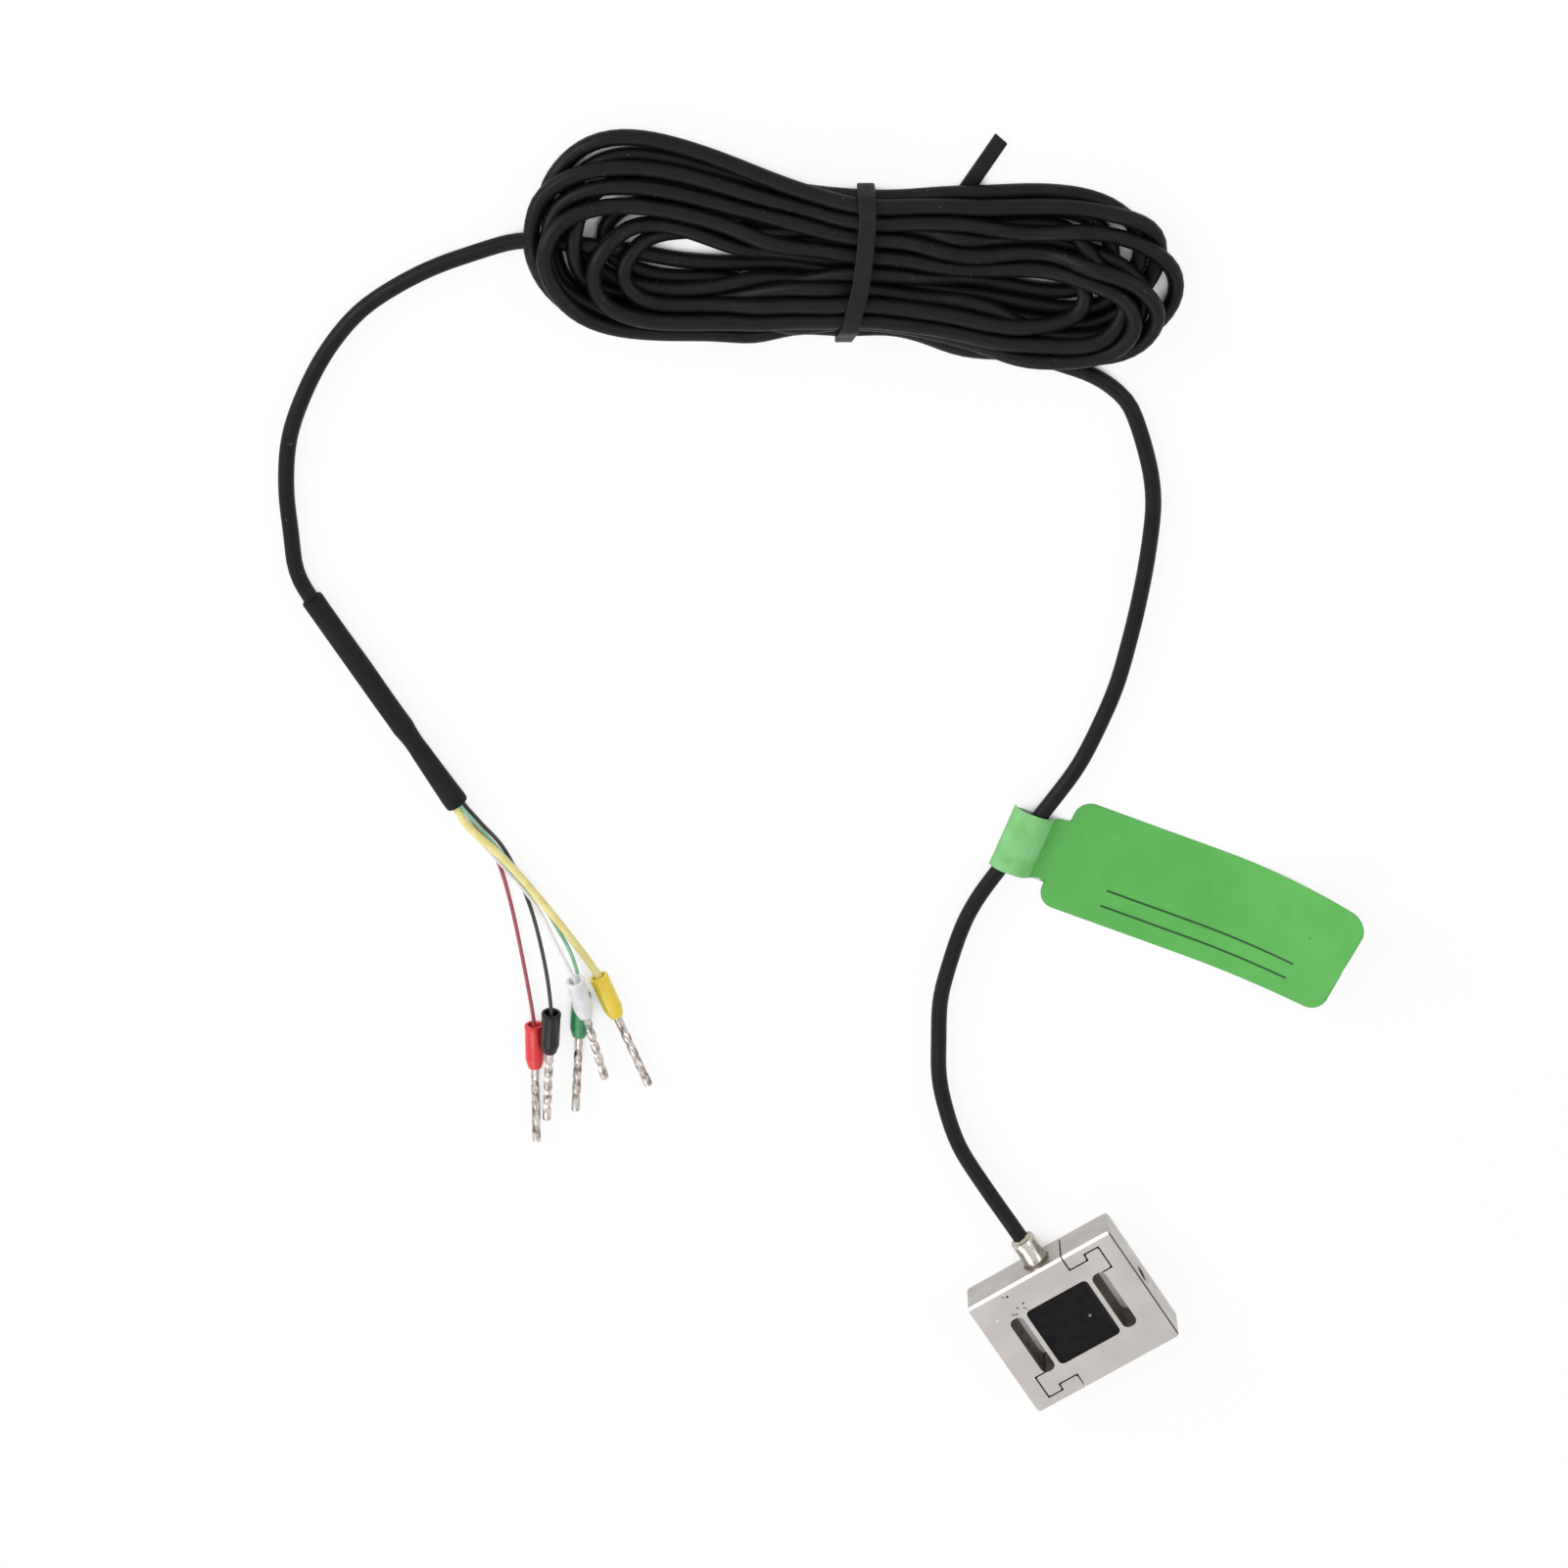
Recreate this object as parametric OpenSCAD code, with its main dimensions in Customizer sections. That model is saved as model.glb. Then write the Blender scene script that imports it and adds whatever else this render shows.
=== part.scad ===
// Miniature S-type load cell with its signal cable, wound and tied as it is shipped.
// Millimetres. The body lies flat, its loading axis runs along X, the cable leaves on +Y,
// and the origin is the centre of the body's underside.

/* [Body] */
// Length of the body along the loading axis
body_length = 21.2; // [21:0.1:24]
// Width of the body across the loading axis
body_width = 17.8; // [17.6:0.1:20]
// Thickness of the body
body_thickness = 5.4; // [5.2:0.1:7]
// Rounding of the four upright edges
edge_round = 0.5; // [0.2:0.1:0.8]
// Small chamfer along the upper and lower edges
edge_chamfer = 0.15; // [0.05:0.05:0.3]

/* [Window and slots] */
// Length of the sensing window along the loading axis
window_length = 9.1; // [8.6:0.1:9.3]
// Width of the solid beam on each side of the window
beam_width = 4.4; // [4.2:0.1:4.8]
// Corner rounding of the window
window_round = 0.7; // [0.3:0.1:1.2]
// Thickness of the two sensing webs between window and slots
web_thickness = 0.6; // [0.4:0.1:0.8]
// Width of each relief slot
slot_width = 1.95; // [1.6:0.05:2.1]
// Corner rounding of the relief slots
slot_round = 0.85; // [0.5:0.05:0.9]

/* [Overload stop cut] */
// Width of the wire-cut gap
cut_width = 0.2; // [0.15:0.05:0.3]
// Run of the cut outwards from the slot
cut_out = 1.2; // [1:0.1:1.4]
// Rise of the cut beside the slot
cut_rise = 3.4; // [3.2:0.1:3.5]
// Run of the cut back over the slot
cut_back = 2.1; // [1.8:0.1:2.3]
// Step of the hook that stops an overload
cut_step = 0.95; // [0.8:0.05:1.1]
// Run of the cut from the hook to the open edge
cut_tail = 2.7; // [2.4:0.1:2.9]
// Inner rounding of the cut's bends
cut_bend = 0.25; // [0.1:0.05:0.3]

/* [Load threads] */
// Tapping bore of the load thread at each end
thread_bore = 2.5; // [2:0.1:3.2]
// Chamfer at the mouth of each thread
thread_chamfer = 0.25; // [0.1:0.05:0.4]

/* [Cable gland] */
// Outer diameter of the crimped sleeve
gland_diameter = 3.2; // [2.9:0.1:3.6]
// Bore of the sleeve
gland_bore = 2.3; // [2.2:0.05:2.5]
// Depth of the sleeve in the body
gland_seat = 2.2; // [1.5:0.1:2.4]
// Length of the sleeve outside the body
gland_reach = 3.7; // [3:0.1:5]
// Passage for the cores between gland and window
core_passage = 1.8; // [1.5:0.1:2]
// Height of the adhesive bead at the sleeve's foot
bead_height = 0.45; // [0.3:0.05:0.7]

/* [Cable] */
// Outer diameter of the cable
cable_diameter = 2; // [1.8:0.1:2]
// Height of the tied hank
hank_height = 6.4; // [5.5:0.1:7.5]
// Rounding of the hank's ends
hank_round = 6; // [4:0.5:7]
// Outer diameter of the heat-shrink sleeve
shrink_diameter = 2.8; // [2.6:0.1:3]
// Diameter where the heat-shrink necks in past the cable's end
shrink_neck = 2.45; // [2.3:0.05:2.6]

/* [Wires and ferrules] */
// Diameter of a thin wire
wire_diameter = 0.5; // [0.4:0.05:0.6]
// Diameter of the sleeved screen wire
screen_diameter = 1; // [0.8:0.05:1]
// Diameter of a ferrule's plastic collar
collar_diameter = 2.5; // [2.3:0.1:2.5]
// Length of a ferrule's plastic collar
collar_length = 6; // [5.5:0.1:6.5]
// Diameter of a ferrule's metal pin
pin_diameter = 1.1; // [1:0.05:1.2]
// Length of a ferrule's metal pin outside its collar
pin_length = 10.4; // [8:0.1:10.6]

/* [Tie and label] */
// Width of the tie band
tie_width = 2.1; // [1.6:0.1:2.5]
// Thickness of the tie band
tie_thickness = 0.7; // [0.5:0.05:0.8]
// Length of the label's flag
flag_length = 40; // [36:0.5:41]
// Width of the label's flag
flag_width = 15; // [13:0.5:16]
// Width of the label's neck round the cable
neck_width = 8.5; // [7:0.5:9]
// Thickness of one layer of the label
label_thickness = 0.15; // [0.1:0.05:0.2]

/* [Hidden] */
$fn = 48;
eps = 0.01;
fit = 0.03;

mid_z = body_thickness / 2;
half_length = body_length / 2;
half_width = body_width / 2;
window_width = body_width - 2 * beam_width;
window_x = window_length / 2;
window_y = window_width / 2;
slot_x = window_x + web_thickness + slot_width / 2;
slot_length = window_width - 0.1;

// The cut starts at the slot's outer corner and steps out to the open edge.
cut_x0 = slot_x + slot_width / 2 - 0.4;
cut_y0 = slot_length / 2 - 0.2;
cut_x1 = slot_x + slot_width / 2 + cut_out;
cut_y1 = cut_y0 + cut_rise;
cut_x2 = cut_x1 - cut_back;
cut_y2 = cut_y1 - cut_step;
cut_x3 = cut_x2 - cut_tail;
cut_path = [
    [cut_x0, cut_y0], [cut_x1, cut_y0], [cut_x1, cut_y1], [cut_x2, cut_y1],
    [cut_x2, cut_y2], [cut_x3, cut_y2], [cut_x3, half_width + 1]
];

// Potting and the parts that it seals in
potting_dip = 0.2;
pocket_floor = body_thickness * 0.3;
pocket_height = body_thickness * 0.4;
gauge_length = window_width / 3;
gauge_height = pocket_height - 0.36;
gauge_backing = 0.06;
gauge_foil = 0.03;
gauge_y = window_y * 0.42;
pocket_end = gauge_y + gauge_length / 2 + 0.2;
board_length = 5;
tab_reach = gauge_length * 0.4;
board_width = 2 * (gauge_y + tab_reach) + 0.4;
board_thickness = 0.4;
board_top = pocket_floor + board_thickness;
pad_height = 0.12;
core_diameter = 0.5;
core_pitch = 0.56;
core_end_y = gauge_y + 0.2;
bridge_wire = 0.12;

// Gland and the beads of adhesive at both of its ends
gland_inner_y = half_width - gland_seat;
gland_outer_y = half_width + gland_reach;
bead_spread = 0.55;
glue_length = 0.4;

// Route of the cable from the gland to the hank, and from the hank to the heat-shrink
cable_r = cable_diameter / 2;
label_bed = 2 * label_thickness + 0.05;
lead_route = [
    [0, gland_inner_y, mid_z], [0, gland_outer_y + 1, mid_z], [-0.1, 18.5, 2.5], [-0.2, 23, 2.1],
    [-0.1, 27.5, 1.7], [0.9, 32, 1.4], [2.7, 37, 1.1], [5.6, 41.8, 1.1], [8.6, 46.3, 1.1],
    [12.5, 50.2, 1.1], [16.7, 53.8, 1.2], [20.4, 56.1, 1.4], [24.4, 57.9, 1.5], [29.9, 60.3, 1.5],
    [35.1, 62.4, 1.4], [39.8, 64.4, 1.1], [44.2, 67.2, 1.1], [49.3, 71, 1.1], [53.8, 75.3, 1.1],
    [58, 79.7, 1.1], [62.2, 84.6, 1.1], [66, 89.8, 1.1], [68.3, 95.2, 1.1], [69.2, 99.7, 1.1],
    [69, 104.2, 1.1], [67.5, 108, 1.1]
];
tail_route = [
    [18.2, 159.2, 1.1], [12.9, 160.6, 1.1], [8.1, 161.6, 1.1], [2.7, 162, 1.1], [-2.8, 161.6, 1.1],
    [-8.8, 159.5, 1.1], [-14.4, 156.2, 1.1], [-19, 152.4, 1.1], [-22.8, 147.3, 1.1],
    [-25.6, 142, 1.2], [-27.4, 138.5, 1.4], [-28, 135.5, 1.5], [-28, 130, 1.5], [-28, 121, 1.5],
    [-28, 113, 1.5]
];

// Hank, in a frame of its own that is turned onto its long axis
hank_place = [52, 138, 0];
hank_turn = -32;
hank_outline = [
    [-39.6, -6], [-39.6, 8], [-34, 14.8], [-24, 14.8], [-4, 7.8], [3, 6.9], [29, 8], [36, 7],
    [41, 0], [41, -9], [37, -15.8], [27, -15.8], [8, -12.2], [1, -11.1], [-20, -11.8], [-32, -11.6]
];

// Centres of the outermost strands at the waist, across the hank and above the ground
waist_strands = [[-9.95, 1.9], [-8.6, 5.2], [-6, 5.2], [5.2, 3.6], [5.4, 1.9]];

// Tie, seen from above: its bow over the hank, and its tail from under the waist to the cut end
tie_bow = [
    [-0.5, -12.6], [0.25, -9.97], [0.9, -7.2], [1.6, -4.5], [2, -1.5], [2.3, 1.4], [2.45, 4.1],
    [2.3, 6.5], [1.9, 8.2]
];
tie_tail = [[1.7, -4.6], [5, -4], [8.2, -2], [11.2, 1.5], [14.3, 6.2], [18.4, 12.5]];
tie_gap = 0.1;
tie_lift = 0.1;
tail_thickness = tie_thickness - 0.1;
tail_z = tie_lift + 0.05;

// Heat-shrink, lying along -Y from the end of the cable's tail
shrink_x = -28;
shrink_start_y = 134;
cable_end_y = 113;
shrink_end_y = 101.4;
shrink_z = 1.5;
shrink_flare = 0.2;
shrink_mouth = 3;

// Each ferrule: the place of its collar's open end, its heading and its slope
ferrule_red = [-36.6, 70.8, 1.25, -122, 0];
ferrule_black = [-33.2, 71.9, 3.6, -125.5, 9.3];
ferrule_green = [-29.2, 71.3, 1.25, -125.5, 0];
ferrule_white = [-27.9, 74.6, 4.9, -109.5, 14.3];
ferrule_yellow = [-26.1, 72.1, 1.25, -100, 0];
collar_taper = 1.1;
collar_tip = 1.7;
collar_bore = 1.5;
pin_sunk = 2;
wire_sunk = collar_length - pin_sunk;

// Routes of the wires from inside the heat-shrink's mouth to their collars
mouth_y = shrink_end_y + shrink_mouth - 2 * fit;
red_route = [
    [-28, mouth_y, 0.9], [-27.9, 101, 0.8], [-28, 96.5, 0.4], [-28.2, 92.5, 0.35],
    [-30, 86.5, 0.4], [-33.5, 77.8, 0.8]
];
black_route = [
    [-27.2, mouth_y, 1.3], [-27.2, 101, 1.2], [-26.5, 97, 0.5], [-26.4, 92, 0.3],
    [-28.3, 84.5, 0.5], [-30.6, 77.5, 2.2]
];
green_route = [
    [-27.7, mouth_y, 2.1], [-27.6, 101, 1.9], [-27.2, 95, 1.15], [-26.2, 89.5, 1],
    [-25.9, 84.3, 0.4], [-26.9, 77, 0.8]
];
white_route = [
    [-28.5, mouth_y, 1], [-28.4, 101, 0.9], [-28.8, 97, 0.6], [-27.9, 90.5, 1.1],
    [-27.4, 84.5, 1.3], [-27.6, 79.5, 3.2]
];
yellow_route = [
    [-28.4, mouth_y, 1.8], [-28.4, 101, 1.8], [-28.4, 98, 1.9], [-27, 92, 2.2],
    [-26.3, 85, 2], [-26, 77, 1.5]
];

// Label, in a frame of its own: X along the flag, Y across it
label_place = [27.2, 61.8, 0];
label_heading = -53.7;
neck_length = 6.8;
flag_round = 2.2;
flag_thickness = 2 * label_thickness;
curl_start = 27;
curl_radius = 42;
curl_angle = asin((neck_length + flag_length - curl_start) / curl_radius) + 1;
curl_steps = 10;

// A rectangle with round corners, centred on the origin
module rounded_rectangle(length, width, radius) {
    square([length - 2 * radius, width], center = true);
    square([length, width - 2 * radius], center = true);
    for (x = [-1, 1], y = [-1, 1])
        translate([x * (length / 2 - radius), y * (width / 2 - radius)])
            circle(radius);
}

// One straight run of the wire cut, with a round nose at both ends
module cut_run(a, b) {
    turn = atan2(b[1] - a[1], b[0] - a[0]);
    translate(a)
        rotate(turn) {
            translate([0, -cut_width / 2])
                square([norm(b - a), cut_width]);
            circle(cut_width / 2, $fn = 16);
        }
}

// Small fillet inside a bend of the cut, where the wire swings round
module cut_fillet(corner, x_side, y_side) {
    reach = cut_width / 2 + cut_bend;
    translate(corner)
        scale([x_side, y_side])
            difference() {
                square(reach);
                translate([reach, reach])
                    circle(cut_bend, $fn = 24);
            }
}

// The whole cut as a flat outline on the +X +Y side
module overload_cut() {
    for (i = [0:len(cut_path) - 2])
        cut_run(cut_path[i], cut_path[i + 1]);
    cut_fillet(cut_path[1], -1, 1);
    cut_fillet(cut_path[2], -1, -1);
    cut_fillet(cut_path[3], 1, -1);
    cut_fillet(cut_path[4], -1, 1);
    cut_fillet(cut_path[5], 1, 1);
}

// Relief slot beside the window
module relief_slot() {
    translate([slot_x, 0])
        rounded_rectangle(slot_width, slot_length, slot_round);
}

// Bore from an end face into the slot, along X, with a chamfered mouth
module load_thread() {
    translate([slot_x, 0, mid_z])
        rotate([0, 90, 0])
            cylinder(h = half_length - slot_x + 1, d = thread_bore);
    translate([half_length - thread_chamfer, 0, mid_z])
        rotate([0, 90, 0])
            cylinder(h = 2 * thread_chamfer, d1 = thread_bore, d2 = thread_bore + 4 * thread_chamfer);
}

// Block of the body with its edges broken above and below
module body_block() {
    translate([0, 0, edge_chamfer])
        linear_extrude(body_thickness - 2 * edge_chamfer)
            rounded_rectangle(body_length, body_width, edge_round);
    linear_extrude(body_thickness)
        rounded_rectangle(body_length - 2 * edge_chamfer, body_width - 2 * edge_chamfer,
                          edge_round - edge_chamfer / 2);
}

module sensor_body() {
    color([0.74, 0.71, 0.69])
        difference() {
            body_block();
            translate([0, 0, -1])
                linear_extrude(body_thickness + 2) {
                    rounded_rectangle(window_length, window_width, window_round);
                    for (turn = [0, 180])
                        rotate(turn) {
                            relief_slot();
                            overload_cut();
                        }
                }
            for (turn = [0, 180])
                rotate(turn)
                    load_thread();
            translate([0, gland_inner_y, mid_z])
                rotate([-90, 0, 0])
                    cylinder(h = gland_seat + 1, d = gland_diameter + 2 * fit);
            translate([0, 0, mid_z])
                rotate([-90, 0, 0])
                    cylinder(h = half_width, d = core_passage);
        }
}

// Black compound that fills the window, with a pocket round the gauges and the board
module window_potting() {
    color([0.13, 0.12, 0.13])
        difference() {
            translate([0, 0, potting_dip])
                linear_extrude(body_thickness - 2 * potting_dip)
                    rounded_rectangle(window_length - 2 * fit, window_width - 2 * fit, window_round);
            translate([-window_x, -pocket_end, pocket_floor])
                cube([window_length, pocket_end + window_y, pocket_height]);
        }
}

// Foil strain gauge on the window side of a web: backing, measuring grid and two tabs
module strain_gauge(side, place) {
    bars = 5;
    bar_pitch = gauge_height * 0.12;
    bar_length = gauge_length * 0.6;
    tab = gauge_length * 0.16;
    translate([side * window_x, place * gauge_y, mid_z])
        rotate([0, 0, side > 0 ? 180 : 0]) {
            color([0.85, 0.6, 0.25])
                translate([0, -gauge_length / 2, -gauge_height / 2])
                    cube([gauge_backing, gauge_length, gauge_height]);
            color([0.7, 0.7, 0.68]) {
                for (i = [0:bars - 1])
                    translate([gauge_backing - eps, -bar_length / 2, (i - (bars - 1) / 2) * bar_pitch])
                        cube([gauge_foil, bar_length, bar_pitch * 0.5]);
                for (end = [-1, 1])
                    translate([gauge_backing - eps, end * tab_reach - tab / 2, -gauge_height * 0.25])
                        cube([gauge_foil, tab, gauge_height * 0.5]);
            }
        }
}

module strain_gauge_1() {
    strain_gauge(1, 1);
}

module strain_gauge_2() {
    strain_gauge(1, -1);
}

module strain_gauge_3() {
    strain_gauge(-1, 1);
}

module strain_gauge_4() {
    strain_gauge(-1, -1);
}

// Places of the four cores in the passage, two above two
function core_spots() = [for (x = [-1, 1], z = [-1, 1]) [x * core_pitch / 2, z * core_pitch / 2]];

module terminal_board() {
    color([0.12, 0.4, 0.22])
        translate([-board_length / 2, -board_width / 2, pocket_floor])
            cube([board_length, board_width, board_thickness]);
    color([0.75, 0.75, 0.72]) {
        for (x = [-1, 1], y = [-1, 0, 1])
            translate([x * board_length * 0.25, y * gauge_y * 0.55, board_top])
                cylinder(h = pad_height, d = 0.7, $fn = 24);
        for (x = [-1, 1])
            translate([x * core_pitch / 2, core_end_y + core_diameter / 2, board_top])
                cylinder(h = pad_height, d = core_diameter, $fn = 24);
    }
}

// Chip resistor that trims the bridge
module trim_resistor() {
    body_l = 1;
    body_w = 0.5;
    cap = 0.2;
    translate([0, -gauge_y * 0.6, board_top + 0.2]) {
        color([0.1, 0.1, 0.1])
            cube([body_l - 2 * cap, body_w, 0.35], center = true);
        color([0.8, 0.8, 0.8])
            for (side = [-1, 1])
                translate([side * (body_l - cap) / 2, 0, 0])
                    cube([cap, body_w, 0.4], center = true);
    }
}

// Four insulated cores from the cable's end to the board
module cable_cores() {
    color([0.7, 0.3, 0.25])
        for (spot = core_spots())
            translate([spot[0], core_end_y, mid_z + spot[1]])
                rotate([-90, 0, 0])
                    cylinder(h = gland_inner_y - core_end_y - fit, d = core_diameter, $fn = 24);
}

// Fine enamelled wires from the gauges' tabs to the board
module bridge_wires() {
    reach = window_x - gauge_backing - gauge_foil;
    inner = board_length * 0.4;
    color([0.75, 0.42, 0.2])
        for (side = [-1, 1], place = [-1, 1], end = [-1, 1])
            translate([side * inner, place * gauge_y + end * tab_reach, board_top + bridge_wire / 2])
                rotate([0, side * 90, 0])
                    cylinder(h = reach - inner, d = bridge_wire, $fn = 16);
}

module cable_gland() {
    color([0.72, 0.7, 0.67])
        translate([0, gland_inner_y, mid_z])
            rotate([-90, 0, 0])
                rotate_extrude()
                    polygon([
                        [gland_bore / 2, 0], [gland_diameter / 2, 0],
                        [gland_diameter / 2, gland_seat + gland_reach - 0.2],
                        [gland_diameter / 2 - 0.2, gland_seat + gland_reach],
                        [gland_bore / 2, gland_seat + gland_reach]
                    ]);
}

// Dark adhesive bead round the sleeve's foot
module gland_bead() {
    inner = gland_diameter / 2 + fit;
    color([0.16, 0.14, 0.13])
        translate([0, half_width, mid_z])
            rotate([-90, 0, 0])
                rotate_extrude()
                    polygon([
                        [inner, 0], [inner + bead_spread, 0],
                        [inner + bead_spread * 0.3, bead_height * 0.35], [inner, bead_height]
                    ]);
}

// Clear adhesive rim round the cable at the sleeve's mouth
module exit_glue() {
    inner = cable_r + fit;
    outer = gland_diameter / 2 - 0.15;
    color([0.8, 0.78, 0.7])
        translate([0, gland_outer_y, mid_z])
            rotate([-90, 0, 0])
                rotate_extrude()
                    polygon([[inner, 0], [outer, 0], [outer - 0.15, glue_length * 0.6], [inner, glue_length]]);
}

// Unit direction of a route at point i, from its neighbours
function route_heading(route, i) =
    let (step = route[min(i + 1, len(route) - 1)] - route[max(i - 1, 0)])
        step / norm(step);

// Ring of points round a route at point i
function route_ring(route, i, radius, sides) =
    let (
        ahead = route_heading(route, i),
        across = cross(ahead, [0, 0, 1]) / norm(cross(ahead, [0, 0, 1])),
        above = cross(across, ahead)
    )
        [for (k = [0:sides - 1])
            route[i] + radius * (cos(360 * k / sides) * across + sin(360 * k / sides) * above)];

// A plain round cord swept along a route
module swept_cord(route, diameter, sides = 8) {
    rings = len(route);
    ring_points = [for (i = [0:rings - 1]) each route_ring(route, i, diameter / 2, sides)];
    walls = [for (i = [0:rings - 2], k = [0:sides - 1])
        let (next = (k + 1) % sides)
            [i * sides + k, i * sides + next, (i + 1) * sides + next, (i + 1) * sides + k]];
    first_cap = [for (k = [0:sides - 1]) sides - 1 - k];
    last_cap = [for (k = [0:sides - 1]) (rings - 1) * sides + k];
    polyhedron(ring_points, concat(walls, [first_cap, last_cap]), convexity = 6);
}

module cable_lead() {
    color([0.2, 0.2, 0.2])
        swept_cord(lead_route, cable_diameter);
}

module cable_tail() {
    color([0.2, 0.2, 0.2])
        swept_cord(tail_route, cable_diameter);
}

// Bundle of strands at the waist, run along the hank and grown all round
module waist_bundle(grow) {
    reach = 2 * tie_width + abs(tie_bow[0][0]);
    translate([-reach, 0, 0])
        rotate([90, 0, 90])
            linear_extrude(3 * reach)
                hull()
                    for (strand = waist_strands)
                        translate(strand)
                            circle(cable_r + grow, $fn = 32);
}

// Unit vector to the left of a flat path at point i, from its neighbours
function path_left(path, i) =
    let (step = path[min(i + 1, len(path) - 1)] - path[max(i - 1, 0)])
        [-step[1], step[0]] / norm(step);

// Outline of a flat strip that follows a path
module strip_outline(path, width) {
    last = len(path) - 1;
    polygon(concat(
        [for (i = [0:last]) path[i] + width / 2 * path_left(path, i)],
        [for (i = [last:-1:0]) path[i] - width / 2 * path_left(path, i)]
    ));
}

// Space that the tie's loop takes over, under and beside the hank, grown by a gap
module tie_lane(gap) {
    translate([0, 0, -1])
        linear_extrude(hank_height + cable_diameter)
            strip_outline(tie_bow, tie_width + 2 * gap);
}

// Bed under the turns for the tie's tail, open past its cut end
module tail_bed() {
    last = len(tie_tail) - 1;
    run = tie_tail[last] - tie_tail[last - 1];
    translate([0, 0, -1])
        linear_extrude(1 + tail_z + tail_thickness + 2 * tie_gap)
            strip_outline(concat(tie_tail, [tie_tail[last] + run]), tie_width + 2 * tie_gap);
}

// Closed outer shape of the wound and tied cable, drawn in where its tie crosses it
module cable_hank() {
    color([0.2, 0.2, 0.2])
        translate(hank_place)
            rotate(hank_turn)
                difference() {
                    linear_extrude(hank_height)
                        offset(r = hank_round)
                            offset(delta = -hank_round)
                                polygon(hank_outline);
                    difference() {
                        tie_lane(tie_gap);
                        waist_bundle(0);
                    }
                    tail_bed();
                }
}

// Flat tie drawn tight round the hank's waist, with its tail lying under the turns
module hank_tie() {
    color([0.12, 0.12, 0.12])
        translate(hank_place)
            rotate(hank_turn) {
                intersection() {
                    difference() {
                        waist_bundle(tie_gap + tie_thickness);
                        waist_bundle(tie_gap);
                    }
                    tie_lane(0);
                }
                translate([0, 0, tail_z])
                    linear_extrude(tail_thickness)
                        strip_outline(tie_tail, tie_width);
            }
}

// Heat-shrink sleeve that closes the cable's end round its wires
module heat_shrink() {
    r = shrink_diameter / 2;
    neck_r = shrink_neck / 2;
    bore_r = cable_r + fit;
    mouth_r = cable_r + 0.15;
    long = shrink_start_y - shrink_end_y;
    neck_at = shrink_start_y - cable_end_y + 1;
    neck_end = neck_at + 4;
    color([0.13, 0.13, 0.13])
        translate([shrink_x, shrink_start_y, shrink_z])
            rotate([90, 0, 0])
                rotate_extrude()
                    polygon([
                        [bore_r, 0], [r - 0.1, 0], [r, 0.4], [r, neck_at - 3], [neck_r, neck_at],
                        [neck_r, neck_at + 1], [r, neck_end], [r + shrink_flare / 2, long - 0.8],
                        [r, long], [mouth_r, long], [mouth_r, long - shrink_mouth],
                        [0, long - shrink_mouth], [0, neck_at - 1 + fit], [bore_r, neck_at - 1 + fit]
                    ]);
}

// Place for something that lies along a ferrule's own axis
module at_ferrule(place) {
    translate([place[0], place[1], place[2]])
        rotate([0, 90 + place[4], place[3]])
            children();
}

// Plastic collar of a ferrule, open at the wire's end and tapered to the pin
module ferrule_collar(place) {
    r = collar_diameter / 2;
    at_ferrule(place)
        rotate_extrude()
            polygon([
                [collar_bore / 2, 0], [r - 0.1, 0], [r, 0.1], [r, collar_length - collar_taper],
                [collar_tip / 2, collar_length], [pin_diameter / 2 + fit, collar_length],
                [pin_diameter / 2 + fit, collar_length - pin_sunk - 0.2],
                [collar_bore / 2, collar_length - pin_sunk - 0.2]
            ]);
}

// Tinned pin of a ferrule with the pinches that the crimping tool leaves
module ferrule_pin(place) {
    pinches = 4;
    pitch = pin_length / (pinches + 1);
    depth = pin_diameter * 0.14;
    color([0.75, 0.73, 0.7])
        at_ferrule(place)
            translate([0, 0, collar_length - pin_sunk])
                difference() {
                    cylinder(h = pin_length + pin_sunk, d = pin_diameter, $fn = 24);
                    for (i = [1:pinches], side = [0:90:270])
                        rotate(side)
                            translate([pin_diameter / 2 - depth, -pin_diameter, pin_sunk + i * pitch - 0.35])
                                cube([pin_diameter, 2 * pin_diameter, 0.7]);
                }
}

// Point on a ferrule's axis, a distance down from its collar's open end
function ferrule_point(place, along) =
    [place[0], place[1], place[2]]
    + along * [cos(place[4]) * cos(place[3]), cos(place[4]) * sin(place[3]), -sin(place[4])];

// Wire from the heat-shrink's mouth into its collar, up to the pin
module ferrule_wire(route, place, diameter) {
    swept_cord(concat(route, [ferrule_point(place, 0), ferrule_point(place, wire_sunk - fit)]), diameter);
}

module wire_red() {
    color([0.75, 0.2, 0.22])
        ferrule_wire(red_route, ferrule_red, wire_diameter);
}

module wire_black() {
    color([0.15, 0.15, 0.15])
        ferrule_wire(black_route, ferrule_black, wire_diameter);
}

module wire_green() {
    color([0.5, 0.72, 0.58])
        ferrule_wire(green_route, ferrule_green, wire_diameter);
}

module wire_white() {
    color([0.92, 0.92, 0.92])
        ferrule_wire(white_route, ferrule_white, wire_diameter);
}

module wire_yellow() {
    color([0.88, 0.83, 0.5])
        ferrule_wire(yellow_route, ferrule_yellow, screen_diameter);
}

module collar_red() {
    color([0.85, 0.15, 0.15])
        ferrule_collar(ferrule_red);
}

module collar_black() {
    color([0.12, 0.11, 0.13])
        ferrule_collar(ferrule_black);
}

module collar_green() {
    color([0.15, 0.6, 0.35])
        ferrule_collar(ferrule_green);
}

module collar_white() {
    color([0.93, 0.93, 0.94])
        ferrule_collar(ferrule_white);
}

module collar_yellow() {
    color([0.95, 0.82, 0.2])
        ferrule_collar(ferrule_yellow);
}

module pin_red() {
    ferrule_pin(ferrule_red);
}

module pin_black() {
    ferrule_pin(ferrule_black);
}

module pin_green() {
    ferrule_pin(ferrule_green);
}

module pin_white() {
    ferrule_pin(ferrule_white);
}

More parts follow.
